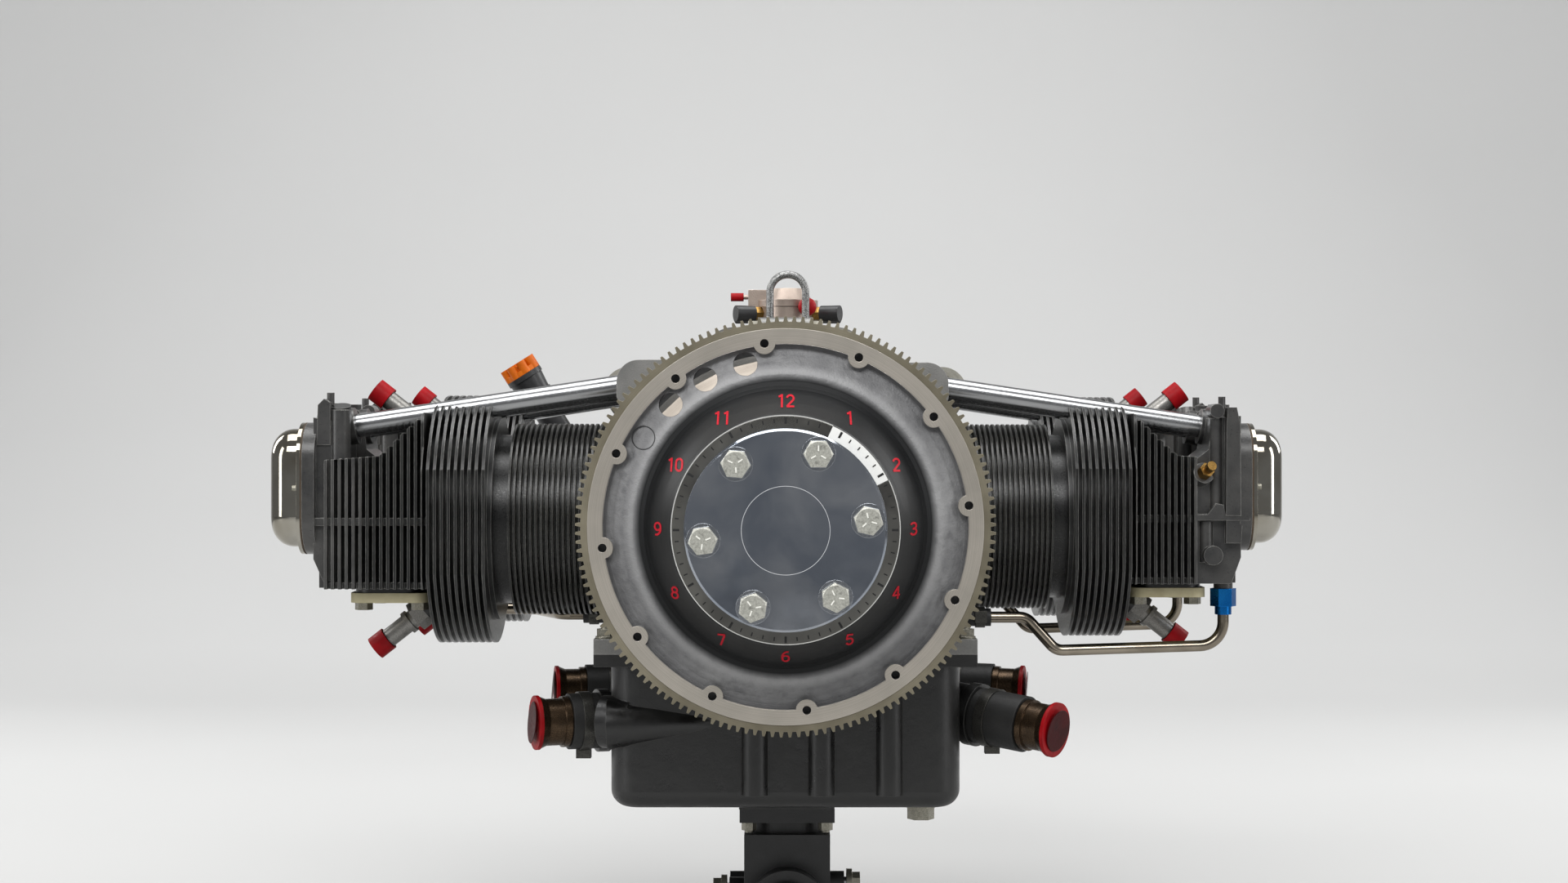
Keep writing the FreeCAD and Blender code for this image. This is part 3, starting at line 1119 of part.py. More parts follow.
def induction_stubs():
    """Beaded steel stub, hose, clamp and red cap at each riser."""
    stubs, hoses, clamps, caps = [], [], [], []
    lengths = {"front_right": 50, "front_left": 69, "rear_right": 62, "rear_left": 70}
    for name, (end, direction) in INDUCTION.items():
        direction = unit(direction)
        out = lengths[name]
        blank = fuse(f"stub_{name}_blank", cylinder(f"stub_{name}_tube", 19, out + 18, step_from(end, direction, -18), direction),
                     cylinder(f"stub_{name}_bead", 20.6, 5, step_from(end, direction, out - 24), direction),
                     cone(f"stub_{name}_flare", 19, 21.5, 6, step_from(end, direction, out - 6), direction))
        stubs.append(cut(f"stub_{name}", blank, cylinder(f"stub_{name}_bore", 17.4, out + 40,
                                                         step_from(end, direction, -24), direction)))
        hoses.append(cut(f"hose_{name}", cylinder(f"hose_{name}_outer", 22.6, out - 26, step_from(end, direction, 1.2), direction),
                         cylinder(f"hose_{name}_bore", 19.03, out, step_from(end, direction, 0), direction)))
        clamps.append(cut(f"clamp_{name}", fuse(
            f"clamp_{name}_blank", cylinder(f"clamp_{name}_band", 23.9, 9, step_from(end, direction, 8), direction),
            box(f"clamp_{name}_screw", (end[0] + direction[0] * 12 - 6, end[1] + direction[1] * 12 - 5, end[2] - 30),
                (end[0] + direction[0] * 12 + 6, end[1] + direction[1] * 12 + 5, end[2] - 20))),
            cylinder(f"clamp_{name}_bore", 22.62, 30, step_from(end, direction, -2), direction)))
        caps.append(fuse(f"stub_cap_{name}", cylinder(f"stub_cap_{name}_disc", 22, 3, step_from(end, direction, out + 0.02), direction),
                         cylinder(f"stub_cap_{name}_plug", 17.3, 9, step_from(end, direction, out - 8), direction)))
    keep("intake_stubs", compound("intake_stubs", stubs))
    return hoses, clamps, caps


def sump_bolts():
    """Bolt heads above the joint of crankcase and sump."""
    made = []
    z = float(D.case_sump_plane) + 12
    for side in (-1, 1):
        for i, y in enumerate((98, 165, 285, 345, 405, 530)):
            name = f"sump_bolt_{'right' if side < 0 else 'left'}_{i + 1}"
            made.append(fuse(name, cylinder(f"{name}_washer", 8.5, 1.5, (143 * side, y, z)),
                             prism(f"{name}_hex", 12.7, 6.5, (143 * side, y, z + 1)),
                             cylinder(f"{name}_end", 4, 9.5, (143 * side, y, z + 1))))
    return keep("sump_bolts", compound("sump_bolts", made))


def drain_plug():
    x, y, z = 110, float(D.sump_front) + 46, float(D.sump_bottom) - 3
    return keep("drain_plug", fuse("drain_plug", prism("drain_plug_hex", 19, 9, (x, y, z - 11)),
                                   cylinder("drain_plug_washer", 11.5, 2, (x, y, z - 2))))


def servo_body():
    """Throttle body with its fuel regulator box at one side and a square flange at each end."""
    x, y = 1.5, float(D.servo_y)
    top, bottom, half = float(D.servo_top), float(D.servo_bottom), float(D.servo_half)
    pieces = [
        box("servo_top_flange", (x - 41, y - 44, top - 12), (x + 41, y + 44, top)),
        cylinder("servo_barrel", half, top - bottom - 12, (x, y, bottom + 6)),
        box("servo_front_box", (x - half, y - 46, bottom + 34), (x + half, y, top - 22)),
        box("servo_bottom_flange", (x - 42, y - 42, bottom), (x + 42, y + 42, bottom + 9)),
        cylinder("regulator_drum", 33, 24, (x, y - 44, bottom + 74), (0, -1, 0)),
        cylinder("regulator_cover", 24, 7, (x, y - 68, bottom + 74), (0, -1, 0)),
        cylinder("throttle_boss", 9, 50, (x, y, D.throttle_z), (1, 0, 0)),
        cylinder("throttle_boss_far", 9, 50, (x, y, D.throttle_z), (-1, 0, 0)),
        cylinder("mixture_boss", 9, 50, (x, y - 30, D.throttle_z), (-1, 0, 0)),
    ]
    blank = fuse("servo_blank", *pieces)
    tools = [cylinder("servo_bore_cut", D.servo_bore, 200, (x, y, bottom - 10)),
             cylinder("throttle_shaft_bore", 4.05, 120, (x - 60, y, D.throttle_z), (1, 0, 0)),
             cylinder("mixture_shaft_bore", 4.05, 30, (x - 51, y - 30, D.throttle_z), (1, 0, 0))]
    for i, (sx, sy) in enumerate(((-1, -1), (1, -1), (1, 1), (-1, 1))):
        tools.append(cylinder(f"inlet_hole_{i + 1}", 3.3, 20, (x + 35 * sx, y + 35 * sy, bottom - 5)))
    return keep("fuel_servo", cut("fuel_servo", blank, *tools))


def servo_bolts():
    x, y, z = 1.5, float(D.servo_y), float(D.servo_top) - 12
    made = []
    for i, (sx, sy) in enumerate(((-1, -1), (1, -1), (1, 1), (-1, 1))):
        px, py = x + 33 * sx, y + 37 * sy
        made.append(fuse(f"servo_nut_{i + 1}", prism(f"servo_nut_{i + 1}_hex", 11.1, 7, (px, py, z - 7)),
                         cylinder(f"servo_stud_{i + 1}", 3.5, 9, (px, py, z - 9))))
    return made


def throttle():
    """Butterfly on its cross shaft with the throttle lever on the outer end."""
    x, y, z = 1.5, float(D.servo_y), float(D.throttle_z)
    radius = float(D.servo_bore)
    lean = math.radians(12)
    disc = cylinder("throttle_disc", radius - 1.2, 2, (x, y, z - 1), (0, math.sin(lean), math.cos(lean)))
    shaft = cylinder("throttle_spindle", 4, 112, (x - 50, y, z), (1, 0, 0))
    keep("throttle_shaft", fuse("throttle_shaft", shaft, disc))
    keep("throttle_lever", lever("throttle_lever", x + 52, y, z, 1))


def lever(name, x, y, z, side):
    """A flat forged arm with a serrated eye on the shaft and a small eye for the control rod."""
    thick, reach = 5, 44
    wire = Part.Wire([
        Part.LineSegment(V(x, y - 11, z), V(x, y - 6, z - reach)).toShape(),
        Part.Arc(V(x, y - 6, z - reach), V(x, y, z - reach - 6), V(x, y + 6, z - reach)).toShape(),
        Part.LineSegment(V(x, y + 6, z - reach), V(x, y + 11, z)).toShape(),
        Part.Arc(V(x, y + 11, z), V(x, y, z + 11), V(x, y - 11, z)).toShape()])
    arm = extrusion(name + "_arm", wire, (thick * side, 0, 0))
    nut = prism(name + "_nut", 14.3, 7, (x + thick * side, y, z), (side, 0, 0))
    hole = cylinder(name + "_eye", 2.6, 20, (x - 8 * side, y, z - reach), (side, 0, 0))
    bore = cylinder(name + "_bore", 4, 20, (x - 3 * side, y, z), (side, 0, 0))
    return cut(name, fuse(name + "_blank", arm, nut), hole, bore)


def mixture():
    x, y, z = 1.5, float(D.servo_y) - 30, float(D.throttle_z)
    blade = lever("mixture_arm", x - 52, y, z, -1)
    shaft = cylinder("mixture_spindle", 4, 32, (x - 58, y, z), (1, 0, 0))
    keep("mixture_lever", fuse("mixture_lever", blade, shaft))


# ---------------------------------------------------------------- oil filler and fuel distribution


FILLER = {"root": (-118, 552, 8), "knee": (-196, 552, 34), "mouth": (-256, 542, 130)}


def oil_filler():
    """Filler neck that rises outwards behind the right bank, and the screwed cap with its dipstick."""
    root, knee, mouth = FILLER["root"], FILLER["knee"], FILLER["mouth"]
    neck = pipe("filler_neck", [root, knee, mouth], 13, (0, 40, 0))
    along = unit([m - k for m, k in zip(mouth, knee)])
    collar = fuse("filler_collar", cylinder("collar_lip", 18.2, 5, step_from(mouth, along, -5), along),
                  cone("collar_grip", 15.4, 17.2, 17, step_from(mouth, along, -21), along),
                  cylinder("collar_base", 16.6, 3, step_from(mouth, along, -24), along))
    ring = cylinder("filler_ring", 14.4, 10, step_from(mouth, along, -34), along)
    foot = cylinder("filler_foot", 24, 12, root, (-1, 0, 0))
    bore = cylinder("filler_bore", 10.5, 86, step_from(mouth, along, -84), along)
    keep("oil_filler_neck", cut("oil_filler_neck", fuse("filler_blank", neck, collar, ring, foot), bore,
                                 box("case_wall", (-118, 500, -60), (-80, 600, 80))))
    cap_disc = cylinder("cap_disc", 17, 5, step_from(mouth, along, 0.02), along)
    lobes = [cylinder(f"cap_lobe_{i + 1}", 4.6, 13, step_from(around(mouth, along, 14, 45 * i + 20), along, 0.02), along)
             for i in range(8)]
    crown = cylinder("cap_crown", 12.5, 10, step_from(mouth, along, 0.02), along)
    stick = cylinder("dipstick", 2.4, 74, step_from(mouth, along, -72), along)
    keep("oil_filler_cap", fuse("oil_filler_cap", cap_disc, crown, stick, *lobes))


def around(centre, axis, radius, degrees):
    """A point on a circle about an axis."""
    turned = FreeCAD.Rotation(V(0, 0, 1), V(*axis)).multVec(
        V(radius * math.cos(math.radians(degrees)), radius * math.sin(math.radians(degrees)), 0))
    return tuple(c + t for c, t in zip(centre, turned))


def flow_divider():
    """Distributor on top of the case: ported base, diaphragm chamber and domed cover, all ports blanked."""
    x, y, z = 2, 258, 152
    fittings, plugs = [], []
    for i, (sx, sy) in enumerate(((-1, -1), (1, -1), (1, 1), (-1, 1))):
        direction = unit((sx, sy * 0.4, 0.0))
        start = step_from((x, y, z + 22), direction, 22)
        fittings.append(fuse(f"divider_fitting_{i + 1}", prism(f"fitting_{i + 1}_hex", 11, 9, start, direction),
                             cylinder(f"fitting_{i + 1}_end", 4.5, 16, start, direction)))
        plug = cylinder(f"fitting_plug_{i + 1}_blank", 7, 17, step_from(start, direction, 9.02), direction)
        hole = cylinder(f"fitting_plug_{i + 1}_bore", 4.52, 8, step_from(start, direction, 8), direction)
        plugs.append(cut(f"fitting_plug_{i + 1}", plug, hole))
    fitting_group = keep("divider_fittings", compound("divider_fittings", fittings))
    keep("fitting_plugs", compound("fitting_plugs", plugs))
    base = fuse("divider_blank", cone("divider_foot", 17, 24, 18, (x, y, z), (0, 0, 1)),
                cylinder("divider_body", 25, 11, (x, y, z + 17)),
                box("divider_arm", (x - 34, y - 7, z + 28), (x - 14, y + 7, z + 43)),
                cylinder("divider_vent", 2, 14, (x - 30, y, z + 37), (-1, 0, 0)))
    keep("flow_divider", cut("flow_divider", base, fitting_group))
    lid = fuse("divider_lid", cylinder("divider_ring", 26, 6, (x, y, z + 28)),
               cone("divider_dome", 21, 15, 10, (x, y, z + 34)))
    keep("divider_cover", cut("divider_cover", lid, box("divider_arm_gap", (x - 37, y - 7.02, z + 27),
                                                        (x - 13.98, y + 7.02, z + 43.02))))
    vent_cap = cut("vent_cap", cylinder("vent_cap_blank", 3.6, 11, (x - 38, y, z + 37), (-1, 0, 0)),
                   cylinder("vent_cap_bore", 2.02, 7, (x - 37.9, y, z + 37), (-1, 0, 0)))
    ball_cap = feature("ball_cap", Part.makeSphere(7.8, V(18.5, 226, 179)))
    eye = pipe("lifting_eye", [(-13, 214, 152), (-13, 214, 205.5), (17, 214, 205.5), (17, 214, 152)],
               3.2, (0, 14.95, 14.95, 0))
    keep("lifting_eye", eye)
    return [vent_cap, ball_cap]


def injector_nozzles():
    """One brass nozzle in the intake side of each head."""
    made = []
    axis = unit((0.25, -0.85, 0.35))
    root = step_from((345, -70, 34), axis, 12)
    hexagon = prism("nozzle_hex", 11, 8, root, axis)
    tip = cylinder("nozzle_tip", 4, 17, root, axis)
    return [fuse("nozzle", hexagon, tip)]


# ---------------------------------------------------------------- assembly


def bank_placement(number):
    """Where a piece drawn in the bank frame goes for a cylinder."""
    turn = ROTATE_Z_180 if number % 2 else FreeCAD.Rotation()
    return FreeCAD.Placement(V(0, float(station(number)), 0), turn)


def per_cylinder(name, master):
    for number in (1, 2, 3, 4):
        keep(f"{name}_{number}", linked(f"{name}_{number}", master, bank_placement(number)))


def copies(name, masters):
    """Every master once on each cylinder."""
    made = []
    for number in (1, 2, 3, 4):
        for i, master in enumerate(masters):
            made.append(linked(f"{name}_{number}_{i + 1}", master, bank_placement(number)))
    return made


def by_bank(name, right, left):
    """One master on the right bank's cylinders and another on the left bank's."""
    return [linked(f"{name}_{number}", right if number % 2 else left, bank_placement(number)) for number in (1, 2, 3, 4)]


def grouped(name, masters, others=()):
    """One sub-part from the copies of its masters, with other single pieces of the same kind."""
    keep(name, compound(name, copies(name, masters) + list(others)))


def build():
    crankshaft()
    ring_gear_support()
    starter_ring_gear()
    hub_plate()
    hub_bolts()
    timing_gears()
    camshaft()
    per_cylinder("barrel", barrel_master())
    per_cylinder("cylinder_head", head_casting())
    per_cylinder("rocker_cover", cover_master())
    per_cylinder("piston", piston_master())
    grouped("rocker_gaskets", [gasket_master()])
    grouped("cover_screws", screw_masters())
    grouped("pushrod_tubes", tube_masters())
    grouped("injector_nozzles", injector_nozzles())
    return_nut, return_tube, return_hose, return_clamp = return_masters()
    rear_nut, rear_tube = rear_return_masters()
    keep("oil_return_nuts", compound("oil_return_nuts", by_bank("oil_return_nuts", rear_nut, return_nut)))
    keep("oil_return_tubes", compound("oil_return_tubes", by_bank("oil_return_tubes", rear_tube, return_tube)))
    covers, cover_nuts = port_cover_masters()
    grouped("port_covers", covers)
    crankcase()
    front_seal()
    accessory_housing()
    magnetos()
    rear_accessories()
    mount_brackets()
    oil_sump()
    intake_hoses, intake_clamps, intake_caps = induction_stubs()
    grouped("rubber_hoses", [return_hose], intake_hoses)
    grouped("hose_clamps", [return_clamp], intake_clamps)
    sump_bolts()
    drain_plug()
    servo_body()
    throttle()
    mixture()
    oil_filler()
    divider_caps = flow_divider()
    plugs, plug_caps = plug_masters()
    grouped("spark_plugs", plugs)
    grouped("protective_caps", plug_caps, intake_caps + divider_caps)
    grouped("hex_nuts", cover_nuts, case_bolts() + base_nuts() + servo_bolts())


def check_and_export():
    doc.recompute()
    failed = [o.Label for o in doc.Objects if "Invalid" in o.State or "Error" in o.State]
    if failed:
        raise RuntimeError(f"objects that failed to compute: {failed}")
    os.makedirs("parts", exist_ok=True)
    for old in os.listdir("parts"):
        os.remove(os.path.join("parts", old))
    bad = []
    shapes = {name: Part.getShape(obj) for name, obj in parts.items()}
    for name, shape in shapes.items():
        if shape.isNull() or not shape.Solids or not shape.isValid():
            bad.append(name)
    if bad:
        raise RuntimeError(f"sub-parts with no valid solid: {bad}")
    for name, shape in shapes.items():
        solids = shape.Solids
        solid = solids[0] if len(solids) == 1 else Part.makeCompound(solids)
        solid.exportStep(os.path.join("parts", name + ".step"))
        print(f"{name}: {len(solids)} solids, {shape.Volume / 1000:.1f} cm3, {len(shape.Faces)} faces")


build()
check_and_export()
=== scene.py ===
"""Looks of the flat four aircraft engine: materials, dial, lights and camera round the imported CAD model.

Metres throughout, in the CAD model's frame: the propeller end faces -Y, +Z is up and the crankshaft's
axis is Y.
"""

import json
import math

import bmesh
import bpy
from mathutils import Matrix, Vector


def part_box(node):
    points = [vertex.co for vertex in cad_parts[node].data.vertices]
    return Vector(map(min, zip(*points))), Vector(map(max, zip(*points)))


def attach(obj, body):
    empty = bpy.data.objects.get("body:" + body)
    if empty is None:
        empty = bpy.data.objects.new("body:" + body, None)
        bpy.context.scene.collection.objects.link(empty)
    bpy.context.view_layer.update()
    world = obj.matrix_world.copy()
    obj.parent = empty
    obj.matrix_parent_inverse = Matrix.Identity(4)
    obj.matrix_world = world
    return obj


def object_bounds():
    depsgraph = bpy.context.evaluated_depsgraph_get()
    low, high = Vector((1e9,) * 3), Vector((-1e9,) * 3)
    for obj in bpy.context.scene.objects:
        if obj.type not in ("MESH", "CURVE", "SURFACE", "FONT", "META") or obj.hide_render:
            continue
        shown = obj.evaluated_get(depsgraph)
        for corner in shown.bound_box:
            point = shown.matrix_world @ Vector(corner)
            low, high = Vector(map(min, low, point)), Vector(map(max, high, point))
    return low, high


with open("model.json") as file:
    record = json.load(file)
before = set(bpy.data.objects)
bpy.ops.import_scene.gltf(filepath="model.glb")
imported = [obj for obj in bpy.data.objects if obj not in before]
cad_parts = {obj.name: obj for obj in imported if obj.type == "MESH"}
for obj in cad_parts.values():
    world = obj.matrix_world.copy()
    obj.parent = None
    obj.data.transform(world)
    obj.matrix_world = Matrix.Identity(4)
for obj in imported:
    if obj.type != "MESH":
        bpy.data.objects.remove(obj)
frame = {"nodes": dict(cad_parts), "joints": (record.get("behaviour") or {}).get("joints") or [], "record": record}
cad_low, cad_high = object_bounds()
NODES = frame["nodes"]
SCENE = bpy.context.scene

# places on the CAD model: a front is a Y, and a radius is from the crankshaft's axis
HUB_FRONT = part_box("ring_gear_support")[0].y
PLATE_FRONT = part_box("hub_plate")[0].y
WASHER_FRONT = PLATE_FRONT - 0.0016
RIM_FRONT = 0.0
PULLEY_FRONT = 0.017
PLATE_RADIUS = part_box("hub_plate")[1].x
HUB_RADIUS = 0.0905
RIM_RADIUS = 0.129
ROCKER_BOX_X = 0.339
CAP_HEIGHT = 0.0131
# where the photo's dark dish ends, and the crest of the web outside it that carries a painted highlight
DISH_EDGE = 0.1125
CREST_RADIUS = 0.118


# ------------------------------------------------------------------ materials


def linear(red, green, blue):
    """A colour written as 0 to 255 screen values, in the renderer's linear values."""
    def one(value):
        value /= 255
        return value / 12.92 if value <= 0.04045 else ((value + 0.055) / 1.055) ** 2.4
    return (one(red), one(green), one(blue), 1.0)


class Look:
    """A material and short names for the nodes that most of them share."""

    def __init__(self, name, color, rough, metal=0.0, **sockets):
        self.material = bpy.data.materials.new(name)
        self.material.use_nodes = True
        self.tree = self.material.node_tree
        self.shader = self.tree.nodes["Principled BSDF"]
        self.shader.inputs["Base Color"].default_value = color
        self.shader.inputs["Roughness"].default_value = rough
        self.shader.inputs["Metallic"].default_value = metal
        for socket, value in sockets.items():
            self.shader.inputs[socket.replace("_", " ")].default_value = value
        self.object_coords = self.node("ShaderNodeTexCoord").outputs["Object"]
        split = self.node("ShaderNodeSeparateXYZ", Vector=self.object_coords)
        self.x, self.y, self.z = split.outputs

    def node(self, kind, settings=(), **inputs):
        made = self.tree.nodes.new(kind)
        for key, value in dict(settings).items():
            setattr(made, key, value)
        for key, value in inputs.items():
            self.feed(made.inputs[key.replace("_", " ")], value)
        return made

    def feed(self, socket, value):
        if isinstance(value, bpy.types.NodeSocket):
            self.tree.links.new(value, socket)
        else:
            socket.default_value = value

    def math(self, operation, *values):
        made = self.node("ShaderNodeMath", {"operation": operation})
        for socket, value in zip(made.inputs, values):
            self.feed(socket, value)
        return made.outputs[0]

    def noise(self, scale, detail=3.0, rough=0.55, stretch=(1, 1, 1), distortion=0.0):
        place = self.node("ShaderNodeMapping", Vector=self.object_coords, Scale=stretch).outputs[0]
        return self.node("ShaderNodeTexNoise", Vector=place, Scale=scale, Detail=detail, Roughness=rough,
                         Distortion=distortion).outputs[0]

    def rings(self, radius):
        """Fine turning marks about the crankshaft's axis."""
        return self.node("ShaderNodeTexNoise", {"noise_dimensions": "1D"}, W=radius, Scale=2600.0,
                         Detail=2.0).outputs[0]

    def cells(self, scale):
        """Distance from the middle of each of many small cells."""
        return self.node("ShaderNodeTexVoronoi", Vector=self.object_coords, Scale=scale).outputs["Distance"]

    def ramp(self, value, low, high, bottom=0.0, top=1.0):
        """Value between low and high, spread over bottom to top and held outside."""
        made = self.node("ShaderNodeMapRange", {"clamp": True})
        for socket, number in zip(made.inputs, (value, low, high, bottom, top)):
            self.feed(socket, number)
        return made.outputs[0]

    def mix(self, factor, first, second):
        made = self.node("ShaderNodeMix", {"data_type": "RGBA", "clamp_factor": True})
        for name, value in (("Factor_Float", factor), ("A_Color", first), ("B_Color", second)):
            self.feed(next(s for s in made.inputs if s.identifier == name), value)
        return next(s for s in made.outputs if s.identifier == "Result_Color")

    def radius(self):
        """Distance from the crankshaft's axis."""
        squares = [self.math("POWER", part, 2.0) for part in (self.x, self.z)]
        return self.math("SQRT", self.math("ADD", *squares))

    def edges(self, size=0.0008, low=0.04, high=0.35):
        """1 along sharp edges and 0 on flat faces."""
        rounded = self.node("ShaderNodeBevel", {"samples": 4}, Radius=size).outputs[0]
        true = self.node("ShaderNodeNewGeometry").outputs["True Normal"]
        dot = self.node("ShaderNodeVectorMath", {"operation": "DOT_PRODUCT"})
        self.feed(dot.inputs[0], rounded)
        self.feed(dot.inputs[1], true)
        return self.ramp(self.math("SUBTRACT", 1.0, dot.outputs["Value"]), low, high)

    def bump(self, height, strength, distance, soft_edge):
        """Surface relief, with sharp edges eased by soft_edge."""
        made = self.node("ShaderNodeBump", Strength=strength, Distance=distance, Height=height)
        if soft_edge:
            eased = self.node("ShaderNodeBevel", {"samples": 4}, Radius=soft_edge).outputs[0]
            self.feed(made.inputs["Normal"], eased)
        return made.outputs[0]

    def set(self, **sockets):
        """Links or values for the shader's own sockets."""
        for socket, value in sockets.items():
            self.feed(self.shader.inputs[socket.replace("_", " ")], value)


def cast_metal(name, dark, light, edge, rough):
    """Sand cast or blasted metal: fine grain, soft patches, and lighter edges."""
    look = Look(name, light, rough, 0.8)
    patches = look.noise(14, 4, 0.6)
    fine = look.noise(900, 2, 0.7)
    body = look.mix(look.ramp(patches, 0.35, 0.68), dark, light)
    body = look.mix(look.ramp(fine, 0.35, 0.75, 0.0, 0.35), body, dark)
    look.set(Base_Color=look.mix(look.edges(0.001), body, edge),
             Roughness=look.ramp(fine, 0.3, 0.7, rough - 0.08, rough + 0.1),
             Normal=look.bump(fine, 0.7, 0.00022, 0.0007))
    return look.material


def painted_casting(name, dark, light, edge, rough, coat=0.15):
    """Enamel over a casting: orange peel and the casting's own waviness under the film."""
    look = Look(name, light, rough, 0.0, Coat_Weight=coat, Coat_Roughness=0.3)
    waves = look.noise(70, 3, 0.5)
    fine = look.noise(520, 2, 0.6)
    body = look.mix(look.ramp(waves, 0.3, 0.7), dark, light)
    body = look.mix(look.edges(0.0009, 0.03, 0.3), body, edge)
    height = look.math("ADD", look.math("MULTIPLY", waves, 1.6), look.math("MULTIPLY", fine, 0.5))
    look.set(Base_Color=body, Roughness=look.ramp(waves, 0.3, 0.7, rough - 0.08, rough + 0.12),
             Normal=look.bump(height, 0.6, 0.00035, 0.0006))
    return look.material


def fin_enamel(name, dark, light, edge, rough):
    """Thin enamel on fins: streaks along the fins, and a painted highlight in patches along their edges."""
    look = Look(name, dark, rough, 0.25)
    patches = look.noise(22, 4, 0.6)
    fine = look.noise(700, 2, 0.6)
    body = look.mix(look.ramp(patches, 0.35, 0.7), dark, light)
    # painted highlight where light catches the fin edges; this noise only breaks it into patches
    thin = look.ramp(look.noise(180, 3), 0.3, 0.6, 0.45, 1.0)
    edge_highlight = look.math("MULTIPLY", look.edges(0.0007, 0.02, 0.25), thin)
    look.set(Base_Color=look.mix(edge_highlight, body, edge),
             Roughness=look.ramp(fine, 0.3, 0.7, rough - 0.08, rough + 0.1),
             Normal=look.bump(fine, 0.5, 0.00012, 0.0004))
    return look.material


def head_look():
    """Enamelled head: dark fins with a painted highlight along their edges, and a lighter rocker box outboard of
    them.
    """
    look = Look("head_enamel", linear(40, 40, 41), 0.36, 0.35, Coat_Weight=0.2, Coat_Roughness=0.25)
    patches = look.noise(24, 4, 0.6)
    fine = look.noise(620, 3, 0.65)
    outboard = look.ramp(look.math("ABSOLUTE", look.x), ROCKER_BOX_X - 0.002, ROCKER_BOX_X + 0.002)
    fins = look.mix(look.ramp(patches, 0.35, 0.7), linear(18, 18, 18), linear(36, 36, 35))
    case = look.mix(look.ramp(patches, 0.35, 0.7), linear(50, 50, 50), linear(80, 79, 77))
    body = look.mix(outboard, fins, case)
    # painted highlight where light catches the edges, in the pale colour set below; this noise only breaks it into
    # patches
    thin = look.ramp(look.noise(180, 3), 0.3, 0.6, 0.5, 1.0)
    edge_highlight = look.math("MULTIPLY", look.edges(0.0008, 0.02, 0.25), thin)
    relief = look.math("MULTIPLY", fine, look.ramp(outboard, 0.0, 1.0, 0.5, 1.6))
    look.set(Base_Color=look.mix(edge_highlight, body, linear(172, 171, 166)),
             Roughness=look.ramp(fine, 0.3, 0.7, 0.26, 0.4), Normal=look.bump(relief, 0.6, 0.00018, 0.0007))
    return look.material


def bright_metal(name, tint, rough, smudge=0.05, scratch=0.15, stretch=(1, 1, 1), tone_and_reflection=None):
    """Polished or plated metal with faint smears and hairlines, and clouds of a second tint if given, which are a
    painted reflection on the polished plate and the chrome covers and a tone of the metal elsewhere.
    """
    look = Look(name, tint, rough, 1.0)
    smears = look.noise(28, 4, 0.6)
    if tone_and_reflection:
        clouds = look.ramp(look.noise(17, 3, 0.55, distortion=0.6), 0.38, 0.66)
        look.set(Base_Color=look.mix(clouds, tint, tone_and_reflection))
    hair = look.noise(1500, 2, 0.7, stretch)
    wide = look.ramp(smears, 0.35, 0.75, rough, rough + smudge)
    look.set(Roughness=look.math("ADD", wide, look.math("MULTIPLY", look.ramp(hair, 0.55, 0.8), smudge)),
             Normal=look.bump(hair, scratch, 0.00002, 0.0006))
    return look.material


def plated_steel(name, dark, light, rough=0.4, metal=0.85):
    """Zinc plated fasteners: fine spangle, dull in the hollows and rubbed on the edges."""
    look = Look(name, light, rough, metal)
    spots = look.noise(1100, 3, 0.6)
    patches = look.noise(90, 3)
    body = look.mix(look.ramp(spots, 0.4, 0.62, 0.0, 0.55), light, dark)
    body = look.mix(look.ramp(patches, 0.52, 0.72, 0.0, 0.55), body, dark)
    body = look.mix(look.edges(0.0006, 0.05, 0.4), body, light)
    look.set(Base_Color=body, Roughness=look.ramp(spots, 0.3, 0.7, rough - 0.08, rough + 0.1),
             Normal=look.bump(spots, 0.3, 0.00005, 0.0006))
    return look.material


def hub_bolt_look():
    """Zinc plated heads on polished washers."""
    look = Look("hub_bolt_zinc", linear(196, 196, 187), 0.4, 0.75)
    spots = look.noise(800, 4, 0.65)
    worn = look.noise(240, 3, 0.6)
    head = look.mix(look.ramp(spots, 0.42, 0.68, 0.0, 0.75), linear(192, 192, 183), linear(138, 137, 129))
    head = look.mix(look.ramp(worn, 0.55, 0.7, 0.0, 0.6), head, linear(104, 104, 98))
    on_washer = look.ramp(look.y, WASHER_FRONT - 0.0003, WASHER_FRONT - 0.0001)
    look.set(Base_Color=look.mix(on_washer, head, linear(160, 164, 170)),
             Metallic=look.ramp(on_washer, 0.0, 1.0, 0.7, 1.0),
             Roughness=look.math("SUBTRACT", look.ramp(spots, 0.3, 0.7, 0.36, 0.5),
                                 look.math("MULTIPLY", on_washer, 0.26)),
             Normal=look.bump(look.math("ADD", spots, worn), 0.4, 0.00012, 0.0007))
    return look.material


def moulded(name, color, rough, shade, coat=0.0, **sockets):
    """Moulded plastic or rubber with slight shading from handling."""
    look = Look(name, color, rough, 0.0, Coat_Weight=coat, Coat_Roughness=0.2, **sockets)
    patches = look.noise(50, 3)
    fine = look.noise(500, 2, 0.6)
    look.set(Base_Color=look.mix(look.ramp(patches, 0.3, 0.75), color, shade),
             Roughness=look.ramp(fine, 0.3, 0.7, rough - 0.06, rough + 0.08),
             Normal=look.bump(fine, 0.4, 0.0001, 0.0008))
    return look.material


def turned_steel(name, dark, light, rough):
    """Steel faced on a lathe: rings about the crankshaft's axis."""
    look = Look(name, light, rough, 0.75)
    rings = look.rings(look.radius())
    patches = look.noise(16, 4, 0.6)
    body = look.mix(look.ramp(patches, 0.35, 0.7), dark, light)
    body = look.mix(look.ramp(rings, 0.4, 0.7, 0.0, 0.3), body, dark)
    body = look.mix(look.edges(0.0006, 0.05, 0.4), body, light)
    look.set(Base_Color=body, Roughness=look.ramp(rings, 0.3, 0.7, rough - 0.06, rough + 0.1),
             Normal=look.bump(rings, 0.35, 0.00004, 0.0004))
    return look.material


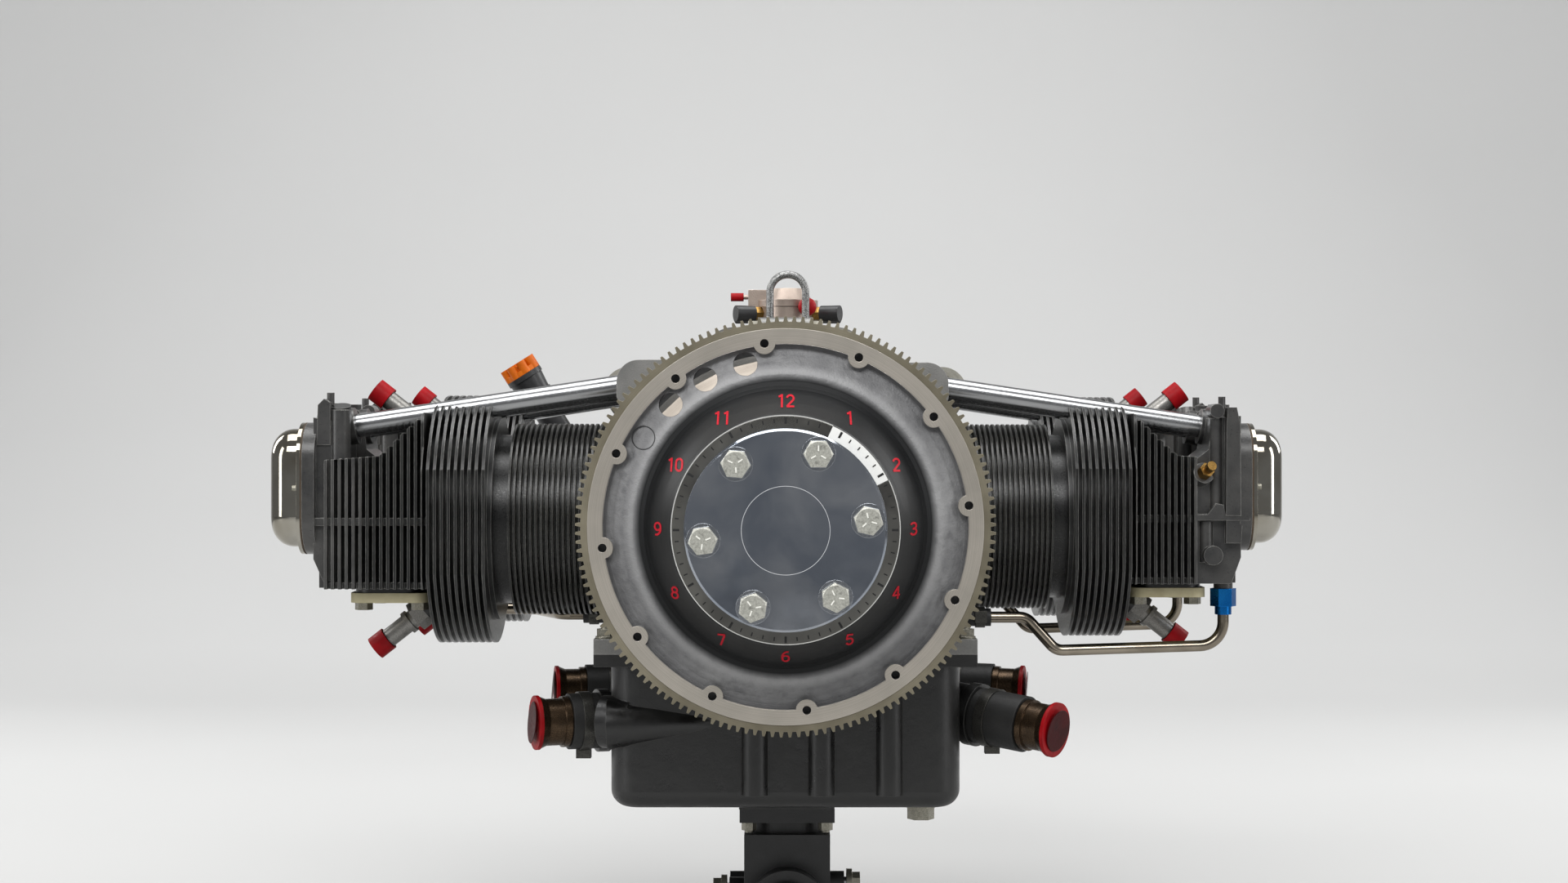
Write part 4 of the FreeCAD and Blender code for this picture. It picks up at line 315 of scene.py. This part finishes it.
def support_casting():
    """Machined rim and ears, rough sloping web with a painted highlight on its crest, smooth dark dish darkened
    further by painted shade, and a brushed ring round the plate.
    """
    look = Look("support_casting", linear(118, 118, 118), 0.5, 0.55)
    radius = look.radius()
    fine = look.noise(620, 3, 0.7)
    lumps = look.noise(130, 4, 0.6)
    pits = look.noise(45, 3, 0.6)
    patches = look.noise(14, 4, 0.6)
    rings = look.rings(radius)

    # masks: 1 on the part of the casting that they are named after, and crest_highlight on the web's crest
    in_dish = look.ramp(radius, DISH_EDGE - 0.0022, DISH_EDGE + 0.003, 1.0, 0.0)
    crest_highlight = look.math("MULTIPLY", look.ramp(radius, CREST_RADIUS - 0.005, CREST_RADIUS - 0.001),
                         look.ramp(radius, CREST_RADIUS + 0.0005, CREST_RADIUS + 0.0055, 1.0, 0.0))
    on_rim = look.math("MULTIPLY", look.ramp(look.y, RIM_FRONT + 0.0003, RIM_FRONT + 0.0006, 1.0, 0.0),
                       look.ramp(radius, RIM_RADIUS - 0.0005, RIM_RADIUS))
    on_pulley = look.ramp(look.y, PULLEY_FRONT - 0.0005, PULLEY_FRONT - 0.0002)
    in_ring = look.math("MULTIPLY", look.ramp(look.y, HUB_FRONT + 0.0003, HUB_FRONT + 0.0005, 1.0, 0.0),
                        look.ramp(radius, HUB_RADIUS - 0.0005, HUB_RADIUS + 0.0005, 1.0, 0.0))
    smooth = look.math("MAXIMUM", look.math("MAXIMUM", in_dish, on_pulley),
                       look.math("MAXIMUM", on_rim, in_ring))

    cast = look.mix(look.ramp(patches, 0.35, 0.7), linear(106, 106, 107), linear(136, 136, 136))
    cast = look.mix(look.ramp(lumps, 0.45, 0.75, 0.0, 0.45), cast, linear(86, 86, 88))
    cast = look.mix(look.ramp(pits, 0.62, 0.7, 0.0, 0.5), cast, linear(84, 84, 86))
    # painted highlight along the web's crest, where light catches it
    cast = look.mix(look.math("MULTIPLY", crest_highlight, 0.45), cast, linear(160, 160, 160))
    # the dish's own dark paint, darkened further as painted shade, most of all towards its deep outer edge
    dish = look.mix(look.ramp(radius, 0.086, 0.104), linear(24, 25, 26), linear(13, 14, 15))
    dish = look.mix(look.ramp(patches, 0.3, 0.7, 0.0, 0.4), dish, linear(36, 37, 38))
    machined = look.mix(look.ramp(rings, 0.4, 0.7), linear(192, 185, 175), linear(166, 160, 149))
    machined = look.mix(look.ramp(patches, 0.4, 0.7, 0.0, 0.5), machined, linear(146, 142, 133))
    color = look.mix(in_dish, cast, dish)
    color = look.mix(look.math("MULTIPLY", look.edges(0.001, 0.06, 0.5), 0.6), color, linear(150, 150, 150))
    color = look.mix(look.math("MAXIMUM", on_rim, on_pulley), color, machined)
    color = look.mix(in_ring, color, linear(96, 96, 95))

    relief = look.math("ADD", look.math("MULTIPLY", lumps, 2.4), look.math("MULTIPLY", pits, 2.0))
    relief = look.math("MULTIPLY", look.math("ADD", fine, relief), look.math("SUBTRACT", 1.0, smooth))
    relief = look.math("ADD", relief, look.math("MULTIPLY", rings, 0.06))
    rough = look.math("ADD", look.ramp(smooth, 0.0, 1.0, 0.55, 0.36), look.math("MULTIPLY", in_dish, 0.08))
    metal = look.math("SUBTRACT", look.ramp(on_rim, 0.0, 1.0, 0.5, 0.75), look.math("MULTIPLY", in_dish, 0.4))
    look.set(Base_Color=color, Roughness=rough, Metallic=metal,
             Specular_IOR_Level=look.ramp(in_dish, 0.0, 1.0, 0.5, 0.2),
             Normal=look.bump(relief, 0.8, 0.00045, 0.0008))
    return look.material


def filler_cap_look():
    """Orange cap on a steel dipstick, told apart along the line that the cap is drawn out on."""
    look = Look("filler_cap", linear(228, 120, 12), 0.45, 0.0, Specular_IOR_Level=0.25)
    axis = Vector(next(joint for joint in frame["joints"] if joint["name"] == "filler_cap_lift")["axis"])
    top = max(vertex.co.dot(axis) for vertex in NODES["oil_filler_cap"].data.vertices)
    along = look.node("ShaderNodeVectorMath", {"operation": "DOT_PRODUCT"})
    look.feed(along.inputs[0], look.object_coords)
    along.inputs[1].default_value = axis
    on_stick = look.ramp(along.outputs["Value"], top - CAP_HEIGHT - 0.0002, top - CAP_HEIGHT, 1.0, 0.0)
    shade = look.mix(look.ramp(look.noise(60, 3), 0.3, 0.75), linear(214, 108, 12), linear(176, 78, 6))
    look.set(Base_Color=look.mix(on_stick, shade, linear(168, 168, 166)), Metallic=on_stick,
             Roughness=look.ramp(on_stick, 0.0, 1.0, 0.45, 0.28),
             Normal=look.bump(look.noise(500, 2, 0.6), 0.3, 0.00008, 0.0008))
    return look.material


def braided(name):
    """Woven steel sleeve."""
    look = Look(name, linear(180, 180, 178), 0.33, 0.9)
    weave = look.cells(1400)
    body = look.mix(look.ramp(weave, 0.1, 0.6), linear(206, 206, 204), linear(96, 96, 95))
    look.set(Base_Color=body, Normal=look.bump(weave, 0.7, 0.0002, 0.0))
    return look.material


# the look of each material slot of the record
MATERIALS = {
    "machined_steel": bright_metal("machined_steel", linear(170, 170, 172), 0.25),
    "plated_steel": plated_steel("plated_steel", linear(104, 101, 90), linear(158, 155, 143)),
    # the plate's blotchy clouds are a painted reflection
    "polished_plate": bright_metal("polished_plate", linear(150, 157, 168), 0.06, 0.1, 0.08,
                                   tone_and_reflection=linear(186, 190, 196)),
    # the covers' brown clouds are a painted reflection
    "chrome_cover": bright_metal("chrome_cover", linear(166, 163, 154), 0.05, 0.05, 0.03,
                                 tone_and_reflection=linear(136, 130, 116)),
    "tube_steel": bright_metal("tube_steel", linear(158, 159, 160), 0.2, 0.08, 0.1, stretch=(0.06, 1, 1)),
    "cast_aluminium": cast_metal("cast_aluminium", linear(112, 112, 110), linear(150, 149, 146),
                                 linear(176, 175, 172), 0.45),
    "support_aluminium": support_casting(),
    "ring_gear_steel": turned_steel("ring_gear_steel", linear(112, 106, 90), linear(150, 143, 124), 0.4),
    # barrel_steel's third colour is the painted highlight on the fin edges
    "barrel_steel": fin_enamel("barrel_steel", linear(14, 14, 14), linear(30, 30, 29),
                               linear(150, 149, 140), 0.32),
    "head_aluminium": head_look(),
    "piston_aluminium": bright_metal("piston_aluminium", linear(190, 190, 192), 0.3),
    "sump_paint": painted_casting("sump_paint", linear(9, 9, 9), linear(20, 20, 19), linear(70, 70, 66),
                                  0.34, 0.12),
    "gold_steel": plated_steel("gold_steel", linear(38, 31, 24), linear(78, 62, 46), 0.3),
    "rubber_black": moulded("rubber_black", linear(16, 16, 16), 0.55, linear(30, 30, 29)),
    "red_plastic": moulded("red_plastic", linear(158, 8, 18), 0.45, linear(112, 4, 10),
                           Specular_IOR_Level=0.14),
    "black_plastic": moulded("black_plastic", linear(24, 24, 25), 0.42, linear(42, 42, 43), 0.05),
    "cream_paint": moulded("cream_paint", linear(178, 170, 138), 0.6, linear(146, 137, 104)),
    "gasket_fibre": moulded("gasket_fibre", linear(70, 56, 40), 0.8, linear(50, 42, 32)),
    "blue_anodised": bright_metal("blue_anodised", linear(36, 134, 208), 0.22, 0.08,
                                  tone_and_reflection=linear(22, 104, 182)),
    "brass_fitting": plated_steel("brass_fitting", linear(88, 66, 34), linear(158, 124, 68), 0.32, 0.95),
    "magneto_paint": painted_casting("magneto_paint", linear(56, 57, 60), linear(74, 75, 78),
                                     linear(130, 130, 132), 0.45),
}

# pieces that look different from the rest of their slot
DIVIDER_COLORS = (linear(150, 136, 126), linear(196, 180, 168), linear(214, 202, 192))
OWN_LOOKS = {
    "lifting_eye": braided("braided_steel"),
    "hub_bolts": hub_bolt_look(),
    "oil_filler_cap": filler_cap_look(),
    "hose_clamps": plated_steel("dark_band", linear(40, 40, 39), linear(84, 83, 79), 0.36),
    "spark_plugs": plated_steel("plug_shell", linear(92, 91, 88), linear(140, 138, 134), 0.38),
    "oil_return_tubes": bright_metal("drain_steel", linear(156, 147, 133), 0.18, 0.08, 0.1,
                                     tone_and_reflection=linear(118, 110, 98)),
    "flow_divider": cast_metal("divider_metal", *DIVIDER_COLORS, 0.36),
    "divider_cover": cast_metal("divider_lid", *DIVIDER_COLORS, 0.36),
    "fuel_servo": painted_casting("servo_casting", linear(20, 20, 21), linear(34, 34, 34), linear(74, 74, 72),
                                  0.42, 0.05),
}

SLOT_OF = {part["node"]: part["material_slot"] for part in frame["record"]["subparts"]}
for node_name, cad_object in NODES.items():
    cad_object.data.materials.clear()
    cad_object.data.materials.append(OWN_LOOKS.get(node_name) or MATERIALS[SLOT_OF[node_name]])


# ------------------------------------------------------------------ pieces that the solids don't have

# radius and depth below the hub's flat, down the dish's wall and out over the sloping web
DISH = [(0.084, 0.0), (0.085, 0.0015), (0.087, 0.007), (0.093, 0.022), (0.100, 0.041), (0.104, 0.054),
        (0.107, 0.0585), (0.110, 0.0608), (0.113, 0.0616), (0.116, 0.0626), (0.120, 0.0646), (0.125, 0.0676),
        (0.131, 0.0706)]
DIAL_RADIUS = 0.0832
NUMERAL_CIRCLE = 0.0948
# the white arc's ends, in degrees clockwise from the top
HIGHLIGHT = (24.5, 64)


def mesh_from(name, build):
    """A mesh with the faces that build adds, all facing outwards."""
    mesh = bpy.data.meshes.new(name)
    shape = bmesh.new()
    build(shape)
    bmesh.ops.recalc_face_normals(shape, faces=shape.faces)
    shape.to_mesh(mesh)
    shape.free()
    return mesh


def new_piece(name, build, body, material):
    """A piece of the visual model that rides on a body."""
    mesh = mesh_from(name, build)
    mesh.materials.append(material)
    piece = bpy.data.objects.new(name, mesh)
    SCENE.collection.objects.link(piece)
    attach(piece, body)


def join_rows(shape, first, second):
    """Faces between two closed rows of corners."""
    for j in range(len(first)):
        k = (j + 1) % len(first)
        shape.faces.new((first[j], first[k], second[k], second[j]))


def add_bar(shape, rows):
    """A closed bar through rows of corners, with an end face on each side."""
    for first, second in zip(rows, rows[1:]):
        join_rows(shape, first, second)
    shape.faces.new(rows[0])
    shape.faces.new(rows[-1])


def dial_point(radius, degrees, y):
    """A point on a circle about the crankshaft's axis, with degrees clockwise from the top."""
    angle = math.radians(degrees)
    return Vector((radius * math.sin(angle), y, radius * math.cos(angle)))


def add_slab(shape, radii, start, stop, front, back, steps):
    """A piece of flat ring between two angles."""
    low, high = radii
    rows = []
    for i in range(steps + 1):
        degrees = start + (stop - start) * i / steps
        rows.append([shape.verts.new(dial_point(r, degrees, y))
                     for r, y in ((low, front), (high, front), (high, back), (low, back))])
    add_bar(shape, rows)


def plain_look(name, color, rough):
    """Flat paint or print with a slightly uneven gloss."""
    look = Look(name, color, rough)
    look.set(Roughness=look.ramp(look.noise(300), 0.3, 0.7, rough - 0.07, rough + 0.07))
    return look.material


def dial():
    """Brushed ring with a white arc, a light line round it and a tick for each minute."""
    back, front = HUB_FRONT, HUB_FRONT - 0.0012
    face = (PLATE_RADIUS + 0.0002, DIAL_RADIUS)
    border = (DIAL_RADIUS + 0.0001, DIAL_RADIUS + 0.0007)
    rest = (HIGHLIGHT[1] + 0.3, 360 + HIGHLIGHT[0])

    def ring(shape):
        add_slab(shape, face, *rest, front, back, 150)

    def white(shape):
        add_slab(shape, face, *HIGHLIGHT, front - 0.0001, back, 24)

    def line(shape):
        add_slab(shape, border, *rest, front, back, 150)

    def ticks(shape):
        for minute in range(60):
            on_hour = minute % 5 == 0
            half = math.degrees((0.00085 if on_hour else 0.00045) / 0.080)
            radii = (0.0776, 0.0824) if on_hour else (0.0784, 0.0813)
            add_slab(shape, radii, 6 * minute - half, 6 * minute + half, front - 0.0003, front + 0.0004, 1)

    brushed = bright_metal("dial_ring", linear(128, 127, 122), 0.26, 0.12, tone_and_reflection=linear(96, 95, 92))
    white_paint = plain_look("dial_white", linear(232, 232, 228), 0.35)
    line_paint = plain_look("dial_line", linear(196, 196, 192), 0.3)
    black_paint = plain_look("dial_black", linear(18, 18, 18), 0.5)
    new_piece("dial_ring", ring, "crank", brushed)
    new_piece("dial_highlight", white, "crank", white_paint)
    new_piece("dial_line", line, "crank", line_paint)
    new_piece("dial_ticks", ticks, "crank", black_paint)


def dish_y(radius):
    """Y of the dish's wall or the web at a radius."""
    for (r0, y0), (r1, y1) in zip(DISH, DISH[1:]):
        if radius <= r1:
            return HUB_FRONT + y0 + (y1 - y0) * (radius - r0) / (r1 - r0)
    return HUB_FRONT + DISH[-1][1]


def arc(x, z, width, height, start, stop, steps=14):
    """Points of an arc of an ellipse; 0 degrees is to the right and 90 is up."""
    angles = [math.radians(start + (stop - start) * i / steps) for i in range(steps + 1)]
    return [(x + width * math.cos(a), z + height * math.sin(a)) for a in angles]


# centre lines of plain sans figures, in millimetres from each figure's middle
STROKES = {
    "0": [arc(0, 1.75, 2.45, 2.6, 0, 180) + arc(0, -1.75, 2.45, 2.6, 180, 360) + [(2.45, 1.75)]],
    "1": [[(-1.7, 3.1), (0.75, 4.2)], [(0.75, 5.1), (0.75, -5.1)]],
    "2": [arc(0, 1.9, 2.45, 2.45, 170, -35) + [(-2.6, -4.35)], [(-2.75, -4.35), (2.85, -4.35)]],
    "3": [arc(0, 2.2, 2.3, 2.15, 160, -90) + [(-0.8, 0.05)],
          [(-0.8, 0.05)] + arc(0, -2.1, 2.5, 2.25, 90, -160)],
    "4": [[(1.3, 4.9), (-2.85, -1.95), (3.0, -1.95)], [(1.3, 5.1), (1.3, -5.1)]],
    "5": [[(2.4, 4.35), (-1.75, 4.35), (-2.15, 0.2)] + arc(0, -1.6, 2.5, 2.75, 140, -155)],
    "6": [arc(1.4, -0.2, 3.85, 4.7, 78, 175) + arc(0, -1.65, 2.45, 2.7, 170, 530, 24)],
    "7": [[(-2.9, 4.35), (2.85, 4.35)], [(2.6, 4.35), (-0.95, -5.1)]],
    "8": [arc(0, 2.4, 2.1, 2.0, 0, 360, 24), arc(0, -2.0, 2.5, 2.4, 0, 360, 24)],
    "9": [arc(-1.4, 0.2, 3.85, 4.7, 258, 355) + arc(0, 1.65, 2.45, 2.7, 350, 710, 24)],
}
STROKE_WIDTH = 1.5
LONGEST_STEP = 1.2
FIGURE_PITCH = 7.0
FIGURE_HEIGHT = 0.0006


def add_stroke(shape, points, middle):
    """A raised ribbon along a centre line, lying on the dish."""
    half = STROKE_WIDTH / 2
    rows = []
    for i, (x, z) in enumerate(points):
        (ax, az), (bx, bz) = points[max(i - 1, 0)], points[min(i + 1, len(points) - 1)]
        along = math.hypot(bx - ax, bz - az)
        out_x, out_z = (az - bz) / along * half, (bx - ax) / along * half
        row = []
        for side in (1, -1):
            px = middle.x + (x + side * out_x) / 1000
            pz = middle.z + (z + side * out_z) / 1000
            wall = dish_y(math.hypot(px, pz))
            row += [shape.verts.new((px, wall - FIGURE_HEIGHT, pz)),
                    shape.verts.new((px, wall + FIGURE_HEIGHT, pz))]
        rows.append([row[0], row[2], row[3], row[1]])
    add_bar(shape, rows)


def fine_points(points):
    """The same line in short steps, so that it can follow the curved wall."""
    made = [points[0]]
    for (ax, az), (bx, bz) in zip(points, points[1:]):
        steps = max(1, math.ceil(math.hypot(bx - ax, bz - az) / LONGEST_STEP))
        made += [(ax + (bx - ax) * i / steps, az + (bz - az) * i / steps) for i in range(1, steps + 1)]
    return made


def numerals():
    """Plain hour numerals lying on the dish."""
    look = Look("dial_red", linear(178, 14, 34), 0.6, 0.0, Specular_IOR_Level=0.15)
    shade = look.ramp(look.noise(400), 0.35, 0.7)
    look.set(Base_Color=look.mix(shade, linear(186, 16, 38), linear(160, 10, 28)))
    for hour in range(1, 13):
        figures = str(hour)

        def build(shape):
            for i, figure in enumerate(figures):
                shift = (i - (len(figures) - 1) / 2) * FIGURE_PITCH / 1000
                middle = dial_point(NUMERAL_CIRCLE, 30 * hour, 0) + Vector((shift, 0, 0))
                for line in STROKES[figure]:
                    add_stroke(shape, fine_points(line), middle)

        new_piece(f"numeral_{hour}", build, "crank", look.material)


# degrees from the top to the first bolt; marks start and end at these distances from a head's middle
FIRST_BOLT = 23.1
MARK_ENDS = (0.0022, 0.0062)
MARK_HALF_WIDTH = 0.0005
MARK_HEIGHT = 0.0006


def bolt_centres(front):
    """Middle of each bolt head's front face, from the CAD's own corners."""
    heads = {}
    for vertex in NODES["hub_bolts"].data.vertices:
        if vertex.co.y < front + 0.0001:
            turn = math.degrees(math.atan2(vertex.co.x, vertex.co.z)) % 360
            heads.setdefault(round((turn - FIRST_BOLT) / 60) % 6, []).append(vertex.co)
    middles = []
    for _, corners in sorted(heads.items()):
        xs, zs = [c.x for c in corners], [c.z for c in corners]
        middles.append(((min(xs) + max(xs)) / 2, (min(zs) + max(zs)) / 2))
    return middles


def bolt_marks():
    """Three raised radial marks on each bolt head, turned a little more on each head."""
    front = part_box("hub_bolts")[0].y
    look = plain_look("bolt_mark", linear(226, 226, 218), 0.35)
    low, high = MARK_ENDS
    for i, (x, z) in enumerate(bolt_centres(front)):
        def build(shape):
            for spoke in range(3):
                angle = math.radians(120 * spoke + 90 + 13 * i)
                along = Vector((math.cos(angle), 0, math.sin(angle)))
                across = Vector((-along.z, 0, along.x)) * MARK_HALF_WIDTH
                corners = [Vector((x, 0, z)) + along * r + across * s
                           for r, s in ((low, -1), (high, -1), (high, 1), (low, 1))]
                add_bar(shape, [[shape.verts.new((c.x, y, c.z)) for c in corners]
                                for y in (front, front - MARK_HEIGHT)])

        new_piece(f"bolt_marks_{i + 1}", build, "crank", look)


# three open ports and a closed one in the ring gear support's web; angles are clockwise from the top
PORT_CIRCLE = 0.127
PORT_PHASE = -13.9
PORT_PITCH = -14.7
PORT_RADIUS = 0.0092


def port_point(turn, along, across, lift):
    """A point near a port, lifted off the web: along is outwards from the crankshaft's axis."""
    middle = dial_point(PORT_CIRCLE, turn, 0)
    out = middle.normalized()
    side = Vector((out.z, 0, -out.x))
    place = middle + out * along + side * across
    place.y = dish_y(place.length) - lift
    return place


def half_disc(shape, turn):
    """The inner half of a port's circle, as a thin plate on the web."""
    rows, columns = 8, 6
    top, bottom = 0.00012, -0.0006
    grid = []
    for j in range(rows + 1):
        along = -PORT_RADIUS * (1 - j / rows * 0.98)
        reach = math.sqrt(PORT_RADIUS ** 2 - min(along ** 2, PORT_RADIUS ** 2 * 0.995))
        grid.append([[shape.verts.new(port_point(turn, along, reach * s / columns, lift))
                      for lift in (top, bottom)] for s in range(-columns, columns + 1)])
    last = 2 * columns
    for first, second in zip(grid, grid[1:]):
        for i in range(last):
            for k in range(2):
                shape.faces.new((first[i][k], first[i + 1][k], second[i + 1][k], second[i][k]))
        for i in (0, last):
            shape.faces.new((first[i][0], first[i][1], second[i][1], second[i][0]))
    for row in (grid[0], grid[-1]):
        for i in range(last):
            shape.faces.new((row[i][0], row[i + 1][0], row[i + 1][1], row[i][1]))


def port_ring(shape, turn):
    """A thin closed ring on the web round a port's circle."""
    section = ((PORT_RADIUS - 0.0008, 0.0001), (PORT_RADIUS, 0.0001),
               (PORT_RADIUS, -0.0004), (PORT_RADIUS - 0.0008, -0.0004))
    rings = []
    for j in range(48):
        angle = 2 * math.pi * j / 48
        rings.append([shape.verts.new(port_point(turn, r * math.cos(angle), r * math.sin(angle), lift))
                      for r, lift in section])
    for first, second in zip(rings, rings[1:] + rings[:1]):
        join_rows(shape, first, second)


def port_faces():
    """Machined face in the inner half of each open port, lifted onto the web as painted light over the pocket's
    shade, and a dark ring as painted shade of the groove round the closed one.
    """
    bright = turned_steel("port_face", linear(156, 147, 136), linear(190, 180, 169), 0.5)
    # painted shade: a dark ring standing for the shadow in the groove round the closed port
    dark = plain_look("port_groove_shade", linear(34, 34, 35), 0.6)
    *open_turns, closed_turn = (PORT_PHASE + PORT_PITCH * i for i in range(4))
    # each face is lifted out of the port's pocket onto the web, as painted light where the pocket is in shade
    for i, turn in enumerate(open_turns):
        new_piece(f"port_face_{i + 1}", lambda shape: half_disc(shape, turn), "crank",
                  bright)
    new_piece("port_groove_shade", lambda shape: port_ring(shape, closed_turn), "crank",
              dark)


def loose_parts(mesh):
    """Corner lists of the separate shells in a mesh, whose corners are split along sharp edges."""
    places = [tuple(round(c, 6) for c in vertex.co) for vertex in mesh.vertices]
    parent = {place: place for place in places}

    def root(place):
        while parent[place] != place:
            parent[place] = parent[parent[place]]
            place = parent[place]
        return place

    for edge in mesh.edges:
        a, b = (root(places[i]) for i in edge.vertices)
        parent[a] = b
    shells = {}
    for place in parent:
        shells.setdefault(root(place), []).append(Vector(place))
    return list(shells.values())


# a cap longer than this is a large one, and its rim is further than this from its middle
LARGE_CAP = 0.03
CAP_RIM = 0.0205
WEB_STEPS = 48


def cap_face(part):
    """Middle of a large cap's outer face and the direction that it faces."""
    middle = sum(part, Vector()) / len(part)
    rim = [p for p in part if (p - middle).length > CAP_RIM]
    centre = sum(rim, Vector()) / len(rim)
    first = rim[0] - centre
    across = max(rim, key=lambda p: first.cross(p - centre).length) - centre
    axis = first.cross(across).normalized()
    if axis.dot(centre - middle) <= 0:
        axis = -axis
    return centre + axis * max((p - centre).dot(axis) for p in part), axis


def cap_webs():
    """Dark thin middle of each large cap, inside its bright red rim: the cap's red darkened as painted shade of
    the dark bore behind it.
    """
    look = moulded("cap_web", linear(66, 5, 7), 0.4, linear(38, 2, 4), Specular_IOR_Level=0.08)
    large = [part for part in loose_parts(NODES["protective_caps"].data)
             if max((p - part[0]).length for p in part) > LARGE_CAP]
    for i, part in enumerate(sorted(large, key=lambda points: (points[0].y, points[0].x))):
        face, axis = cap_face(part)
        side = axis.orthogonal().normalized()
        other = axis.cross(side)

        def build(shape):
            def ring(radius, lift):
                turns = [2 * math.pi * j / WEB_STEPS for j in range(WEB_STEPS)]
                spokes = [side * math.cos(a) + other * math.sin(a) for a in turns]
                return [shape.verts.new(face + axis * lift + spoke * radius) for spoke in spokes]

            outer, inner = ring(0.0170, 0.0), ring(0.0166, 0.0003)
            tip = shape.verts.new(face + axis * 0.0001)
            join_rows(shape, outer, inner)
            for j in range(WEB_STEPS):
                shape.faces.new((inner[j], inner[(j + 1) % WEB_STEPS], tip))

        new_piece(f"cap_web_{i + 1}", build, "engine", look)


def centre_circle():
    """Thin bright circle round the plate's bare middle."""
    look = Look("circle_line", linear(205, 207, 210), 0.4, 0.4)
    look.set(Roughness=look.ramp(look.noise(500), 0.3, 0.7, 0.3, 0.5))
    new_piece("plate_circle", lambda shape: add_slab(
        shape, (0.0320, 0.0324), 0, 360, PLATE_FRONT - 0.00012, PLATE_FRONT + 0.0001, 120),
        "crank", look.material)


dial()
numerals()
bolt_marks()
port_faces()
cap_webs()
centre_circle()


# ------------------------------------------------------------------ floor, light and camera


def stage():
    """Pale floor that curves up into a backdrop."""
    floor = cad_low.z - 0.001
    bend, radius, height = 2.6, 1.4, 6.0
    look = Look("floor", linear(200, 200, 198), 0.75)
    near = look.mix(look.noise(1.2, 2), linear(176, 176, 175), linear(182, 182, 181))
    far = look.mix(look.noise(1.2, 2), linear(214, 214, 213), linear(220, 220, 219))
    look.set(Base_Color=look.mix(look.ramp(look.y, 0.5, 3.0), near, far))

    def build(shape):
        turns = [math.radians(10 * i) for i in range(1, 9)]
        profile = [(-6.0, 0.0), (bend, 0.0)]
        profile += [(bend + radius * math.sin(a), radius - radius * math.cos(a)) for a in turns]
        profile += [(bend + radius, radius), (bend + radius, height)]
        left, right = ([shape.verts.new((x, y, floor + z)) for y, z in profile] for x in (-8.0, 8.0))
        for i in range(len(profile) - 1):
            shape.faces.new((left[i], left[i + 1], right[i + 1], right[i]))

    backdrop = bpy.data.objects.new("backdrop", mesh_from("backdrop", build))
    SCENE.collection.objects.link(backdrop)
    backdrop.data.materials.append(look.material)
    for face in backdrop.data.polygons:
        face.use_smooth = True


def lamp(name, place, target, size, power):
    """A rectangular lamp, with its size as width and height."""
    data = bpy.data.lights.new(name, "AREA")
    data.shape = "RECTANGLE"
    data.size, data.size_y = size
    data.energy = power
    made = bpy.data.objects.new(name, data)
    made.location = place
    made.rotation_euler = (Vector(target) - Vector(place)).to_track_quat("-Z", "Y").to_euler()
    SCENE.collection.objects.link(made)


def light():
    """Soft studio light from all round, with two lamps behind for the edges."""
    world = bpy.data.worlds.new("studio")
    SCENE.world = world
    world.use_nodes = True
    background = world.node_tree.nodes["Background"]
    background.inputs["Color"].default_value = (0.82, 0.83, 0.85, 1)
    background.inputs["Strength"].default_value = 0.3
    lamp("key", (-0.4, -2.6, 2.3), (0, 0, 0.05), (3.2, 1.2), 95)
    lamp("side_left", (-2.9, -1.3, 0.95), (0, 0.1, 0), (0.8, 2.2), 32)
    lamp("side_right", (2.9, -1.3, 0.95), (0, 0.1, 0), (0.8, 2.2), 28)
    lamp("top", (0, 0.3, 2.6), (0, 0.2, 0), (3.0, 1.6), 75)
    lamp("rim_left", (-2.5, 1.5, 1.3), (0, 0.2, 0), (0.8, 1.8), 34)
    lamp("rim_right", (2.5, 1.5, 1.3), (0, 0.2, 0), (0.8, 1.8), 34)


def camera():
    """The photo's view: level, straight at the propeller end."""
    data = bpy.data.cameras.new("camera")
    data.lens = 56.12
    data.sensor_width = 36
    made = bpy.data.objects.new("camera", data)
    made.location = (-0.0012, -1.850, 0.0646)
    made.rotation_euler = (math.radians(90), 0, 0)
    SCENE.collection.objects.link(made)
    SCENE.camera = made


stage()
light()
camera()
SCENE.view_settings.view_transform = "Standard"
